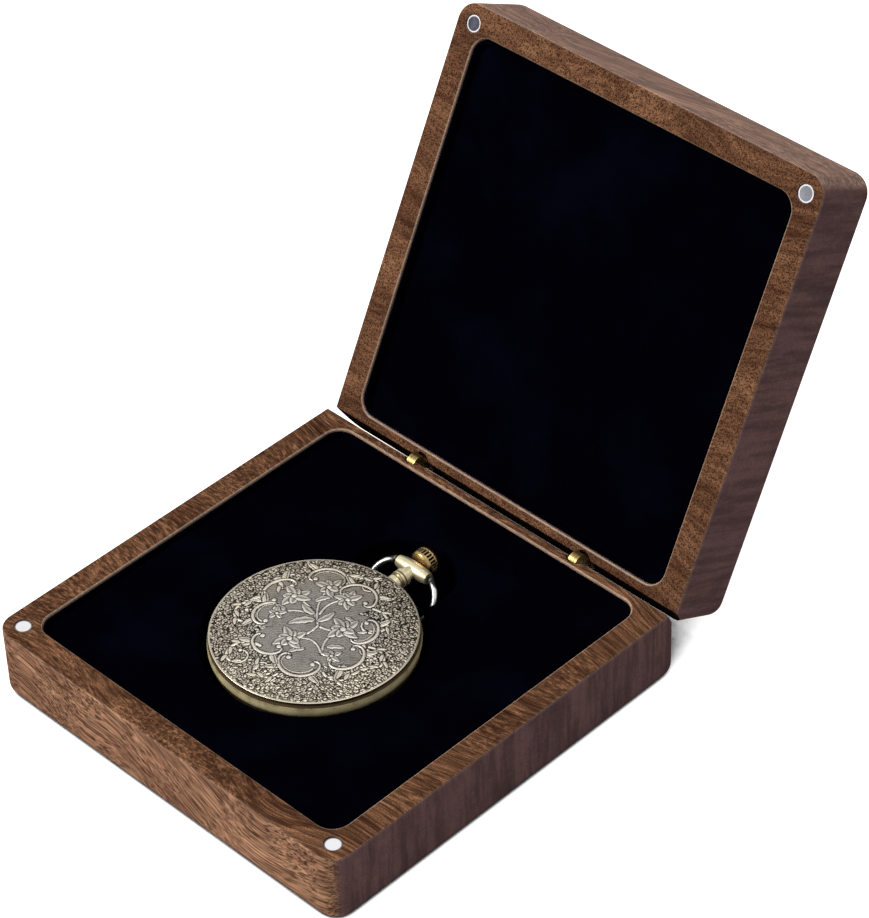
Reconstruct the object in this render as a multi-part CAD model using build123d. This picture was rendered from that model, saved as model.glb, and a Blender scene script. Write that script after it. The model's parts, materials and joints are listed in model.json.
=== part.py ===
from build123d import *

import math
import os

# Pocket watch display box, in millimetres. +Z is up, +Y runs from the front to the hinges, and the
# origin is the middle of the base's underside. The lid is modelled closed, then turned to its rest.

# Wooden box
box_width = 108.0
box_depth = 108.0
base_height = 18.5
lid_height = 18.8
rim_width = 6.5  # wall of both halves, seen as the flat rim round each recess
corner_radius = 4.9
edge_round = 2.4  # outer edge under the base and on top of the lid
rim_softening = 0.4
recess_corner_radius = 4.5
base_floor = 3.5
lid_top = 4.8
closed_gap = 0.1  # between the two rims when the lid is shut

# Lid travel and the bevel along the back that makes room for it
open_angle = 117.0
chamfer_run = 4.3
chamfer_spare_angle = 3.4  # that the base's bevel leans back beyond half of the open angle

# Barrel hinges: a slotted barrel in each half, with leaves pinned in it and one axle between them
hinge_spread = 25.6  # of each hinge from the middle of the box
barrel_wall = 0.75  # wood left on each side of a hinge bore
barrel_fit = 0.05
barrel_length = 12.0
barrel_setback = 0.1
axle_above_chamfer = 0.43
knuckle_clearance = 0.4  # of the round leaf ends inside the bore
lid_leaf_thickness = 0.74
leaf_gap = 0.08
base_leaf_thickness = 0.7
slot_gap = 0.1
leaf_width = 3.2
leaf_pin_offset = 6.0  # from the axle to the cross pin
leaf_foot = 1.6  # from the cross pin to the square end that stands on the slot's floor
axle_radius = 0.6
axle_running_fit = 0.05
cross_pin_radius = 0.5
pin_fit = 0.02
glue_groove_count = 2
glue_groove_pitch = 1.1
glue_groove_width = 0.5
glue_groove_depth = 0.2

# Closing magnets
magnet_radius = 2.0
magnet_thickness = 3.0
magnet_fit = 0.15
magnet_setback = 0.3
magnet_rim_offset = 1.75  # of the magnet's middle from the line of the recess wall

# Velvet pads
pad_clearance = 0.3
fabric_thickness = 0.8
lining_setback = 0.2  # of the lining's upper edge below the rim
well_rim_round = 0.6
base_pad_setback = 1.2
lid_pad_setback = 2.0
watch_seat_gap = 0.2
bow_seat_gap = 0.27
well_clearance = 1.5
notch_radius = 12.05
notch_end_clearance = 3.35

# Watch case, centred on the band's middle plane
watch_offset = 6.9  # of the watch's middle towards the front
watch_drop = 1.95  # of the band's middle plane below the base's rim
watch_radius = 23.9
band_half_height = 1.75
band_bulge = 0.4
case_wall = 3.9
lip_height = 0.4
lip_setback = 1.6
snap_clearance = 0.05
cover_gap = 0.2
cover_setback = 0.4
cover_thickness = 0.7
cover_rim_height = 0.4
cover_bevel_width = 0.35
cover_bevel_height = 0.3
dome_height = 0.7
back_rim_height = 0.45
back_depth = 7.9
back_shoulder_width = 7.0
back_shoulder_drop = 3.65
back_wall = 0.8

# What the watch holds
movement_clearance = 0.2
movement_top = 0.7
plate_thickness = 2.0
movement_step = 1.4
movement_depth = 5.0
dial_thickness = 0.3
dial_hole_radius = 0.9
post_radius = 0.5
hand_fit = 0.05
hand_gap = 0.1
hand_thickness = 0.15
hand_pitch = 0.3
hour_hand_length = 9.5
minute_hand_length = 14.5
hand_hub_radius = 1.1
hand_width = 1.3
hand_tip_width = 0.35
bezel_width = 1.8
bezel_clearance = 0.1
crystal_ledge = 0.55
crystal_height = 0.75  # of the crystal's underside above the dial
crystal_thickness = 0.3
crystal_fit = 0.05
bezel_height = 1.1

# Pendant, stem, crown and bow
neck_radius = 1.3
neck_fit = 0.02
neck_inset = 0.1
collar_gap = 0.15
collar_radius = 1.95
collar_length = 1.55
groove_radius = 1.5
groove_length = 0.6
ring_radius = 2.1
ring_length = 1.8
throat_radius = 1.6
throat_length = 0.9
boss_radius = 1.9
boss_end_radius = 1.4
boss_half_length = 4.65
boss_reach = 2.2  # from the throat to the bow's pivot line
stem_radius = 0.6
stem_fit = 0.1
stem_in_movement = 2.5
stem_in_crown = 2.4
crown_gap = 0.1
crown_base_radius = 2.7
crown_skirt_radius = 3.05
crown_skirt_length = 0.3
crown_radius = 3.2
crown_shoulder = 0.4
crown_knurl_length = 1.7
crown_dome = 1.2
crown_top_radius = 2.2
knurl_count = 24
knurl_depth = 0.34
bow_half_span = 9.5  # of the oval ring, at its widest
bow_half_depth = 7.2
bow_wire_radius = 0.75
bow_ball_radius = 0.85
bow_ball_gap = 0.1
bow_pin_radius = 0.5
bow_pin_fit = 0.05
bow_pin_reach = 0.85
bow_hole_depth = 1.3
bow_angle = 137.0  # from straight up over the crown, turned down towards the underside of the watch

# Places that follow from the sizes above
chamfer_angle = (open_angle + chamfer_spare_angle) / 2
tangent = math.tan(math.radians(chamfer_angle))
chamfer_rise = chamfer_run * tangent
lid_chamfer_rise = chamfer_run * math.tan(math.radians(open_angle - chamfer_angle))  # parallel when open
hinge_y = box_depth / 2 - rim_width / 2
axis_drop = (chamfer_run - rim_width / 2) * tangent - axle_above_chamfer
hinge_z = base_height - axis_drop
bore_radius = rim_width / 2 - barrel_wall
barrel_radius = bore_radius - barrel_fit
knuckle_radius = bore_radius - knuckle_clearance
slot_half_width = lid_leaf_thickness / 2 + leaf_gap + base_leaf_thickness + slot_gap
axle_half_length = slot_half_width - slot_gap
base_slot_depth = axis_drop + leaf_pin_offset + leaf_foot
lid_slot_depth = leaf_pin_offset + leaf_foot - axis_drop - closed_gap
magnet_inset = rim_width - magnet_rim_offset
lid_rim_z = base_height + closed_gap

watch_y = -watch_offset
watch_z = base_height - watch_drop
case_bore = watch_radius - case_wall
cover_radius = watch_radius - cover_setback
cover_inner_radius = watch_radius - lip_setback + snap_clearance
cover_rim = band_half_height + cover_gap
lip_top = band_half_height + lip_height
back_flat_radius = watch_radius - back_shoulder_width
bezel_inner_radius = case_bore - bezel_width
dial_top = movement_top + dial_thickness
collar_start = watch_radius + collar_gap
pivot_reach = collar_start + collar_length + groove_length + ring_length + throat_length + boss_reach
pivot_y = watch_y + pivot_reach
crown_y = pivot_y + boss_radius + crown_gap
crown_length = crown_skirt_length + crown_shoulder + crown_knurl_length + crown_dome
bow_half_width = boss_half_length + bow_ball_gap + bow_ball_radius
bow_start_angle = math.degrees(math.acos(bow_half_width / bow_half_span))
bow_centre = bow_half_depth * math.sin(math.radians(bow_start_angle))
bow_reach = bow_centre + bow_half_depth
bow_low_z = watch_z - bow_reach * math.sin(math.radians(bow_angle)) - bow_wire_radius

base_pad_top = base_height - base_pad_setback
well_radius = watch_radius + well_clearance
well_floor = watch_z - back_depth - watch_seat_gap
notch_floor = bow_low_z - bow_seat_gap
notch_y = crown_y + crown_length + notch_end_clearance - notch_radius


def rod_x(radius, half_length, x, y, z):
    """A round bar along X with its middle at (x, y, z)."""
    return Pos(x, y, z) * Rot(0, 90, 0) * Cylinder(radius, 2 * half_length)


def rod_y(radius, start, end, z):
    """A round bar along Y on the plane X = 0, between two values of Y."""
    return Pos(0, (start + end) / 2, z) * Rot(90, 0, 0) * Cylinder(radius, end - start)


def rod_z(radius, bottom, top, x, y):
    """A round bar along Z at (x, y), between two heights."""
    return Pos(x, y, (bottom + top) / 2) * Cylinder(radius, top - bottom)


def turned(*outline):
    """A solid turned about Z from the lines and arcs of a closed outline, given as radius and height."""
    return revolve(make_face(Plane.XZ * Curve(children=list(outline))), Axis.Z)


def turned_profile(*points):
    """A solid turned about Z from the corners of an outline."""
    return revolve(make_face(Plane.XZ * Polyline(*points, close=True)), Axis.Z)


def dome_arc(radius, edge_z, top_z):
    """The arc of a shallow dome from its edge up to its top on the Z axis."""
    rise = top_z - edge_z
    sphere = (radius**2 + rise**2) / (2 * rise)
    middle = (radius / 2, top_z - sphere + math.sqrt(sphere**2 - radius**2 / 4))
    return ThreePointArc((radius, edge_z), middle, (0, top_z))


def opened(piece):
    """A piece of the closed lid, turned about the hinge axle to the open rest position."""
    return piece.rotate(Axis((0, hinge_y, hinge_z), (1, 0, 0)), -open_angle)


def over_base(piece, height):
    """A piece of a half box with its rim at the given height, turned over on top of the base."""
    return Pos(0, 0, lid_rim_z + height) * Rot(0, 180, 0) * piece


# Wooden halves


def rear_bevel(rim_z, rise):
    """The wedge that is taken off along the back, under the rim."""
    back = box_depth / 2
    corners = [
        (back - chamfer_run, rim_z),
        (back, rim_z - rise),
        (back + chamfer_run, rim_z - rise),
        (back + chamfer_run, rim_z + chamfer_run),
        (back - chamfer_run, rim_z + chamfer_run),
    ]
    wedge = make_face(Plane.YZ * Polyline(*corners, close=True))
    return extrude(wedge, box_width, both=True)


def half_box(height, floor, bevel_rise):
    """A hollowed half of the box, standing on its outer face with its rim upwards."""
    half = extrude(RectangleRounded(box_width, box_depth, corner_radius), height)
    half = fillet(half.faces().sort_by(Axis.Z)[0].edges(), edge_round)
    inner = RectangleRounded(box_width - 2 * rim_width, box_depth - 2 * rim_width, recess_corner_radius)
    half -= Pos(0, 0, floor) * extrude(inner, height)
    half = fillet(half.faces().sort_by(Axis.Z)[-1].edges(), rim_softening)
    half -= rear_bevel(height, bevel_rise)
    for side in (-1, 1):
        bore_floor = height - barrel_setback - barrel_length
        half -= rod_z(bore_radius, bore_floor, height + closed_gap, side * hinge_spread, hinge_y)
        magnet_floor = height - magnet_setback - magnet_thickness
        x = side * (box_width / 2 - magnet_inset)
        y = magnet_inset - box_depth / 2
        half -= rod_z(magnet_radius + magnet_fit, magnet_floor, height + closed_gap, x, y)
    return half


def magnet(height, side):
    """One round magnet on the floor of its hole in a front corner."""
    top = height - magnet_setback
    x = side * (box_width / 2 - magnet_inset)
    return rod_z(magnet_radius, top - magnet_thickness, top, x, magnet_inset - box_depth / 2)


# Barrel hinges


def hinge_barrel(height, bevel_rise, slot_depth, pin_depth, side):
    """A brass barrel in its bore, slotted for the leaves and cut flush with the rear bevel."""
    x = side * hinge_spread
    top = height - barrel_setback
    inner_end = top - barrel_length
    barrel = rod_z(barrel_radius, inner_end, top, x, hinge_y)
    for n in range(glue_groove_count):
        groove_z = inner_end + (n + 0.5) * glue_groove_pitch
        ring = rod_z(barrel_radius + barrel_fit, groove_z, groove_z + glue_groove_width, x, hinge_y)
        ring -= rod_z(barrel_radius - glue_groove_depth, groove_z, groove_z + glue_groove_width, x, hinge_y)
        barrel -= ring
    slot = Pos(0, 0, -slot_depth / 2) * Box(2 * slot_half_width, 3 * barrel_radius, slot_depth)
    barrel -= Pos(x, hinge_y, height) * slot
    barrel -= rear_bevel(height, bevel_rise)
    return barrel - rod_x(cross_pin_radius + pin_fit, 2 * barrel_radius, x, hinge_y, height - pin_depth)


def leaf_plate(inner_x, outer_x, direction, axle_fit):
    """A leaf with a round eye on the axle and a square foot, which points up or down from the axle."""
    length = leaf_pin_offset + leaf_foot
    eye = Circle(knuckle_radius)
    tail = Pos(0, direction * length / 2) * Rectangle(leaf_width, length)
    outline = eye + tail - Circle(axle_radius + axle_fit)
    outline -= Pos(0, direction * leaf_pin_offset) * Circle(cross_pin_radius + pin_fit)
    plane = Plane(origin=(inner_x, hinge_y, hinge_z), x_dir=(0, 1, 0), z_dir=(1, 0, 0))
    return extrude(plane * outline, outer_x - inner_x)


def base_leaves(side):
    """The pair of leaves that stands in the base's barrel, one on each side of the lid's leaf."""
    x = side * hinge_spread
    near = lid_leaf_thickness / 2 + leaf_gap
    far = near + base_leaf_thickness
    right = leaf_plate(x + near, x + far, -1, pin_fit)
    left = leaf_plate(x - far, x - near, -1, pin_fit)
    return Compound(children=[left, right])


def lid_leaf(side):
    """The single leaf that stands in the lid's barrel and turns on the axle."""
    x = side * hinge_spread
    half = lid_leaf_thickness / 2
    return leaf_plate(x - half, x + half, 1, axle_running_fit)


def hinge_axle(side):
    """The axle that all three leaves of one hinge share."""
    return rod_x(axle_radius, axle_half_length, side * hinge_spread, hinge_y, hinge_z)


def barrel_pin(side, direction):
    """The cross pin that holds the leaves down in their barrel."""
    half_length = math.sqrt(barrel_radius**2 - cross_pin_radius**2) - pin_fit
    z = hinge_z + direction * leaf_pin_offset
    return rod_x(cross_pin_radius, half_length, side * hinge_spread, hinge_y, z)


# Pads: a foam core wrapped in velvet


def pad_block(bottom, top, inset):
    """A block that fills the recess with a clearance, or with an inset the core under its fabric."""
    margin = rim_width + pad_clearance + inset
    radius = recess_corner_radius - pad_clearance - inset
    plan = RectangleRounded(box_width - 2 * margin, box_depth - 2 * margin, radius)
    return Pos(0, 0, bottom) * extrude(plan, top - bottom)


def pad(floor, face, rim, inset):
    """A pad from the recess floor up to its face. Its fabric also lines the recess wall nearly to the rim."""
    if inset > 0:
        return pad_block(floor, face - inset, inset)
    return pad_block(floor, rim - lining_setback, 0) - pad_block(face, rim, fabric_thickness)


def round_hollow(radius, floor, top, inset):
    """The cutter for a round hollow whose upper rim is rounded over where the fabric turns in."""
    r = radius + inset
    bottom = floor - inset
    surface = top - inset
    rounding = max(well_rim_round - inset, 0.0)
    if rounding == 0.0:
        return turned_profile((0, bottom), (r, bottom), (r, top + rim_width), (0, top + rim_width))
    sag = rounding * (1 - math.sqrt(0.5))
    return turned(
        Polyline((r + rounding, surface), (r + rounding, top + rim_width), (0, top + rim_width)),
        Polyline((0, top + rim_width), (0, bottom), (r, bottom), (r, surface - rounding)),
        ThreePointArc((r, surface - rounding), (r + sag, surface - sag), (r + rounding, surface)),
    )


def base_pad(inset):
    """The base's pad with the well for the watch and the wider notch under its crown."""
    block = pad(base_floor, base_pad_top, base_height, inset)
    block -= Pos(0, watch_y, 0) * round_hollow(well_radius, well_floor, base_pad_top, inset)
    return block - Pos(0, notch_y, 0) * round_hollow(notch_radius, notch_floor, base_pad_top, inset)


def lid_pad(inset):
    """The lid's flat pad, as it lies in the lid before that is turned over."""
    return pad(lid_top, lid_height - lid_pad_setback, lid_height, inset)


# Watch: turned pieces about Z through the middle of the watch


def on_watch(piece):
    """A piece modelled about the watch's own middle, put in its place in the well."""
    return Pos(0, watch_y, watch_z) * piece


def case_middle():
    """The band of the case, with the lips that both covers snap over and the hole for the pendant."""
    edge = watch_radius - band_bulge
    lip = watch_radius - lip_setback
    band = turned(
        Polyline((edge, band_half_height), (lip, band_half_height), (lip, lip_top), (case_bore, lip_top)),
        Line((case_bore, lip_top), (case_bore, -lip_top)),
        Polyline((case_bore, -lip_top), (lip, -lip_top), (lip, -band_half_height), (edge, -band_half_height)),
        ThreePointArc((edge, -band_half_height), (watch_radius, 0), (edge, band_half_height)),
    )
    return band - rod_y(neck_radius + neck_fit, case_bore - neck_radius, watch_radius + band_bulge, 0)


def front_cover():
    """The shallow domed lid of the hunter case, with a bevelled rim."""
    rim_top = cover_rim + cover_rim_height
    bevel_radius = cover_radius - cover_bevel_width
    bevel_top = rim_top + cover_bevel_height
    top = bevel_top + dome_height
    seat = lip_top
    under = top - cover_thickness
    inner = cover_inner_radius
    return turned(
        Polyline((inner, cover_rim), (cover_radius, cover_rim), (cover_radius, rim_top)),
        Line((cover_radius, rim_top), (bevel_radius, bevel_top)),
        dome_arc(bevel_radius, bevel_top, top),
        Line((0, top), (0, under)),
        dome_arc(inner, seat, under),
        Line((inner, seat), (inner, cover_rim)),
    )


def back_cover():
    """The deep bowl that closes the back of the watch."""
    rim = cover_rim + back_rim_height
    inner = cover_inner_radius
    shoulder = (cover_radius + back_flat_radius) / 2 + band_bulge + back_wall
    shoulder_z = -band_half_height - back_shoulder_drop
    inner_flat = back_flat_radius - back_wall / 2
    inside = -(back_depth - back_wall)
    return turned(
        Polyline((inner, -lip_top), (inner, -cover_rim), (cover_radius, -cover_rim), (cover_radius, -rim)),
        ThreePointArc((cover_radius, -rim), (shoulder, shoulder_z), (back_flat_radius, -back_depth)),
        Polyline((back_flat_radius, -back_depth), (0, -back_depth), (0, inside), (inner_flat, inside)),
        ThreePointArc(
            (inner_flat, inside),
            (shoulder - back_wall, shoulder_z + back_wall / 2),
            (inner, -lip_top),
        ),
    )


def movement():
    """The movement as one turned body, with its plate, its hole for the stem and the hands' post."""
    plate = case_bore - movement_clearance
    post_top = dial_top + hand_gap + hand_pitch + 2 * hand_thickness
    body = turned_profile(
        (0, -movement_depth),
        (plate - movement_step, -movement_depth),
        (plate - movement_step, movement_top - plate_thickness),
        (plate, movement_top - plate_thickness),
        (plate, movement_top),
        (post_radius, movement_top),
        (post_radius, post_top),
        (0, post_top),
    )
    stem_end = case_bore + neck_inset - stem_in_movement
    return body - rod_y(stem_radius + stem_fit, stem_end - stem_fit, watch_radius, 0)


def dial():
    """The dial on top of the movement."""
    radius = case_bore - movement_clearance
    disc = rod_z(radius, movement_top, dial_top, 0, 0)
    return disc - rod_z(dial_hole_radius, movement_top, dial_top, 0, 0)


def hand(length, bottom):
    """A tapered hand with a round hub, pointing at twelve."""
    hub = Circle(hand_hub_radius)
    half = hand_width / 2
    tip = hand_tip_width / 2
    blade = make_face(Polyline((-half, 0), (half, 0), (tip, length), (-tip, length), close=True))
    outline = hub + blade - Circle(post_radius + hand_fit)
    return Pos(0, 0, bottom) * extrude(outline, hand_thickness)


def bezel():
    """The ring round the dial that holds the crystal on a ledge."""
    outer = case_bore - bezel_clearance
    ledge_z = dial_top + crystal_height
    seat = bezel_inner_radius + crystal_ledge
    return turned_profile(
        (bezel_inner_radius, dial_top),
        (outer, dial_top),
        (outer, dial_top + bezel_height),
        (seat + crystal_fit, dial_top + bezel_height),
        (seat + crystal_fit, ledge_z),
        (bezel_inner_radius, ledge_z),
    )


def crystal():
    """The flat glass over the hands."""
    bottom = dial_top + crystal_height
    return rod_z(bezel_inner_radius + crystal_ledge, bottom, bottom + crystal_thickness, 0, 0)


# Pendant group: pieces about the line along Y at the height of the band's middle


def pendant():
    """The neck, its collars and the cross boss that carries the bow, bored through for the stem."""
    neck_end = watch_y + case_bore + neck_inset
    collar_y = watch_y + collar_start
    groove_y = collar_y + collar_length
    ring_y = groove_y + groove_length
    throat_y = ring_y + ring_length
    piece = rod_y(neck_radius, neck_end, collar_y, watch_z)
    piece += rod_y(collar_radius, collar_y, groove_y, watch_z)
    piece += rod_y(groove_radius, groove_y, ring_y, watch_z)
    piece += rod_y(ring_radius, ring_y, throat_y, watch_z)
    piece += rod_y(throat_radius, throat_y, pivot_y, watch_z)
    low = (boss_end_radius, -boss_half_length)
    high = (boss_end_radius, boss_half_length)
    boss = turned(
        ThreePointArc(low, (boss_radius, 0), high),
        Polyline(high, (0, boss_half_length), (0, -boss_half_length), low),
    )
    piece += Pos(0, pivot_y, watch_z) * Rot(0, 90, 0) * boss
    piece -= rod_y(stem_radius + stem_fit, neck_end, pivot_y + 2 * boss_radius, watch_z)
    for side in (-1, 1):
        x = side * (boss_half_length - bow_hole_depth / 2)
        piece -= rod_x(bow_pin_radius + bow_pin_fit, bow_hole_depth / 2, x, pivot_y, watch_z)
    return piece


def stem():
    """The winding stem from the movement into the crown."""
    start = watch_y + case_bore + neck_inset - stem_in_movement
    return rod_y(stem_radius, start, crown_y + stem_in_crown, watch_z)


def crown():
    """The knurled winding crown with a plain skirt and a domed end."""
    skirt = crown_skirt_length
    shoulder = skirt + crown_shoulder
    knurl_end = shoulder + crown_knurl_length
    rounding = crown_dome * (1 - math.sqrt(0.5))
    body = turned(
        Polyline((0, crown_length), (0, 0), (crown_base_radius, 0), (crown_skirt_radius, skirt)),
        Polyline((crown_skirt_radius, skirt), (crown_radius, shoulder), (crown_radius, knurl_end)),
        ThreePointArc(
            (crown_radius, knurl_end),
            ((crown_radius + crown_top_radius) / 2 + rounding, crown_length - rounding),
            (crown_top_radius, crown_length),
        ),
        Line((crown_top_radius, crown_length), (0, crown_length)),
    )
    groove = Pos(crown_radius, 0, skirt) * Rot(0, 0, 45) * Box(
        math.sqrt(2) * knurl_depth,
        math.sqrt(2) * knurl_depth,
        crown_length,
        align=(Align.CENTER, Align.CENTER, Align.MIN),
    )
    for n in range(knurl_count):
        body -= Rot(0, 0, n * 360 / knurl_count) * groove
    body -= rod_z(stem_radius, 0, stem_in_crown, 0, 0)
    return Pos(0, crown_y, watch_z) * Rot(-90, 0, 0) * body


def bow():
    """The oval wire bow on its two pins, turned down under the watch to lie in the notch."""
    path = EllipticalCenterArc(
        (0, bow_centre),
        bow_half_span,
        bow_half_depth,
        start_angle=-bow_start_angle,
        arc_size=180 + 2 * bow_start_angle,
    )
    section = Plane(origin=path @ 0, z_dir=path % 0) * Circle(bow_wire_radius)
    ring = sweep(section, path)
    pin_end = boss_half_length - bow_pin_reach
    for side in (-1, 1):
        ring += Pos(side * bow_half_width, 0, 0) * Sphere(bow_ball_radius)
        middle = side * (pin_end + bow_half_width) / 2
        ring += rod_x(bow_pin_radius, (bow_half_width - pin_end) / 2, middle, 0, 0)
    return Pos(0, pivot_y, watch_z) * Rot(-bow_angle, 0, 0) * ring


def build():
    """Every piece of the box and the watch, by the name of its node."""
    pieces = {}
    pieces["base_tray"] = half_box(base_height, base_floor, chamfer_rise)
    lid = half_box(lid_height, lid_top, lid_chamfer_rise)
    pieces["lid_shell"] = opened(over_base(lid, lid_height))

    core = base_pad(fabric_thickness)
    pieces["base_pad_core"] = core
    pieces["base_velvet"] = base_pad(0) - core
    lid_core = lid_pad(fabric_thickness)
    pieces["lid_pad_core"] = opened(over_base(lid_core, lid_height))
    pieces["lid_velvet"] = opened(over_base(lid_pad(0) - lid_core, lid_height))

    base_pin_depth = leaf_pin_offset + axis_drop
    lid_pin_depth = leaf_pin_offset - axis_drop - closed_gap
    for name, side in (("left", -1), ("right", 1)):
        pieces[f"base_magnet_{name}"] = magnet(base_height, side)
        pieces[f"lid_magnet_{name}"] = opened(over_base(magnet(lid_height, -side), lid_height))
        base_barrel = hinge_barrel(base_height, chamfer_rise, base_slot_depth, base_pin_depth, side)
        pieces[f"base_barrel_{name}"] = base_barrel
        lid_barrel = hinge_barrel(lid_height, lid_chamfer_rise, lid_slot_depth, lid_pin_depth, -side)
        pieces[f"lid_barrel_{name}"] = opened(over_base(lid_barrel, lid_height))
        pieces[f"base_leaves_{name}"] = base_leaves(side)
        pieces[f"lid_leaf_{name}"] = opened(lid_leaf(side))
        pieces[f"hinge_axle_{name}"] = hinge_axle(side)
        pieces[f"base_barrel_pin_{name}"] = barrel_pin(side, -1)
        pieces[f"lid_barrel_pin_{name}"] = opened(barrel_pin(side, 1))

    pieces["watch_case_middle"] = on_watch(case_middle())
    pieces["watch_front_cover"] = on_watch(front_cover())
    pieces["watch_back_cover"] = on_watch(back_cover())
    pieces["watch_movement"] = on_watch(movement())
    pieces["watch_dial"] = on_watch(dial())
    hour_z = dial_top + hand_gap
    pieces["watch_hour_hand"] = on_watch(hand(hour_hand_length, hour_z))
    pieces["watch_minute_hand"] = on_watch(hand(minute_hand_length, hour_z + hand_pitch))
    pieces["watch_bezel"] = on_watch(bezel())
    pieces["watch_crystal"] = on_watch(crystal())
    pieces["watch_pendant"] = pendant()
    pieces["watch_stem"] = stem()
    pieces["watch_crown"] = crown()
    pieces["watch_bow"] = bow()
    return pieces


def main():
    os.makedirs("parts", exist_ok=True)
    for name, piece in build().items():
        export_step(piece, f"parts/{name}.step")


if __name__ == "__main__":
    main()
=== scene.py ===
import json
import math

import bmesh
import bpy
import numpy as np
from bpy.props import FloatProperty, FloatVectorProperty, IntProperty, PointerProperty
from mathutils import Matrix, Vector


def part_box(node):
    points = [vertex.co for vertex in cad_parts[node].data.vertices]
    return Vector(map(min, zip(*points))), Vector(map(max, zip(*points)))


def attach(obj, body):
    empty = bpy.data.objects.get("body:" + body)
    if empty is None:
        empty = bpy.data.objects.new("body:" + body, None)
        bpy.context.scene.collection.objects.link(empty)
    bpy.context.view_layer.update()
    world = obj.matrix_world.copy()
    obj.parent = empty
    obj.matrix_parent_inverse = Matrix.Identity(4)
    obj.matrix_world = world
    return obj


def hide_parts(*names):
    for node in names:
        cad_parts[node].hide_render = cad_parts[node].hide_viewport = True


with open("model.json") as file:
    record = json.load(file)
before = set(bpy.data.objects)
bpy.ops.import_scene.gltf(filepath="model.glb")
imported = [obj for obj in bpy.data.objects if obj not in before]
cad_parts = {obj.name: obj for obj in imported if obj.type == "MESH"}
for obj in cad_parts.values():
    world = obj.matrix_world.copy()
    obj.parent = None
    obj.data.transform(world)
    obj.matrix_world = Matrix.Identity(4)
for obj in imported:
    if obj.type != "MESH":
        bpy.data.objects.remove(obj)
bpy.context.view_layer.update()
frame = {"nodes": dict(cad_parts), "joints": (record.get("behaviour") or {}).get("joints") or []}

bl_info = {
    "name": "Pocket watch display box",
    "version": (1, 0, 0),
    "blender": (4, 5, 0),
    "location": "3D View > Sidebar > Display box",
    "description": "Walnut, velvet, hinges, magnets and an engraved hunter watch, on the box's fixed frame",
    "category": "Object",
}

MM = 0.001
JOINTS = {joint["name"]: joint for joint in frame["joints"]}
HINGE = np.array(JOINTS["lid_hinge"]["pos_m"]) / MM
LID_ANGLE = math.radians(JOINTS["lid_hinge"]["range_deg"][1])
WATCH_CENTRE = np.array(JOINTS["minute_hand_turn"]["pos_m"]) / MM
CROWN_BASE = np.array(JOINTS["crown_turn"]["pos_m"]) / MM
BOW_PIVOT = np.array(JOINTS["bow_swing"]["pos_m"]) / MM
BOX_HALF, BOX_CORNER = 54.0, 4.9  # outline of the box, half across and at its corners, in millimetres
RECESS_HALF, RECESS_CORNER = 47.5, 4.5
HINGE_PLACE, MAGNET_PLACE = (25.6, 50.75), (49.25, -49.25)  # from the middle of the box, and mirrored
RIM_Z = 18.55  # where the two rims meet
FIBRE_WAVE = 36.0  # of the dipping fibres along the box, in millimetres for each radian


def node_box(name):
    """Lowest and highest corner of a node of the frame at rest, in millimetres."""
    low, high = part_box(name)
    return np.array(low) / MM, np.array(high) / MM


# Sizes and colours


def size(name, description, default, high=100.0):
    """A length in millimetres that a user can change."""
    return FloatProperty(name=name, description=description, default=default, min=0.0, max=high)


def turned_by(name, description, degrees):
    """An angle that a user can change, given here in degrees."""
    return FloatProperty(name=name, description=description, default=math.radians(degrees), subtype="ANGLE")


def share(name, description, default):
    """A value from 0 to 1 that a user can change."""
    return FloatProperty(name=name, description=description, default=default, min=0.0, max=1.0, subtype="FACTOR")


def tint(name, description, default):
    """A colour that a user can change."""
    return FloatVectorProperty(
        name=name, description=description, default=default, size=3, min=0.0, max=1.0, subtype="COLOR"
    )


class WalnutSettings(bpy.types.PropertyGroup):
    light: tint("Light wood", "Colour of the pale early wood on the sides", (0.310, 0.166, 0.098))
    dark: tint("Dark wood", "Colour of the dark late wood on the sides", (0.105, 0.048, 0.030))
    rim_light: tint("Light rim", "Colour of the pale wood on the rims", (0.205, 0.098, 0.050))
    rim_dark: tint("Dark rim", "Colour of the dark wood on the rims", (0.054, 0.021, 0.011))
    end: tint("End grain", "Colour where the fibres are cut across", (0.091, 0.052, 0.058))
    pore: tint("Pores", "Colour at the bottom of the open pores", (0.022, 0.009, 0.006))
    # The arris colour is partly wear and partly a painted highlight: a paler band along the rims' edges, where they
    # catch the light.
    arris_wear_and_highlight: tint("Arris wear and highlight", "Colour of the rubbed edges", (0.42, 0.30, 0.22))
    base_slope: FloatProperty(name="Slope in the base", description="Dip of the fibres along the base", default=0.42)
    lid_slope: FloatProperty(name="Slope in the lid", description="Dip of the fibres along the lid", default=-0.45)
    # Painted sheen: a pale tint on the lid's faces that look forward when it is shut, for the grazing reflection along
    # its top edge when it stands open.
    painted_sheen: share("Painted sheen", "How much the front edge of the lid has faded", 0.20)
    pore_depth: size("Pore depth", "Depth of the open pores", 0.05)


class VelvetSettings(bpy.types.PropertyGroup):
    colour: tint("Velvet", "Colour of the pile", (0.0003, 0.0003, 0.0014))
    sheen: tint("Sheen", "Colour of the light that grazes the pile", (0.10, 0.10, 0.30))
    lip_round: size("Lip rounding", "Radius of the fabric over the rim of the well", 0.9)
    foot_round: size("Foot rounding", "Radius where the fabric turns up the wall of the recess", 0.4)
    crown: size("Crown", "How far the pads swell in the middle", 0.25)
    ripple: size("Ripple", "Height of the soft waves in the fabric", 0.06)


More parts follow.
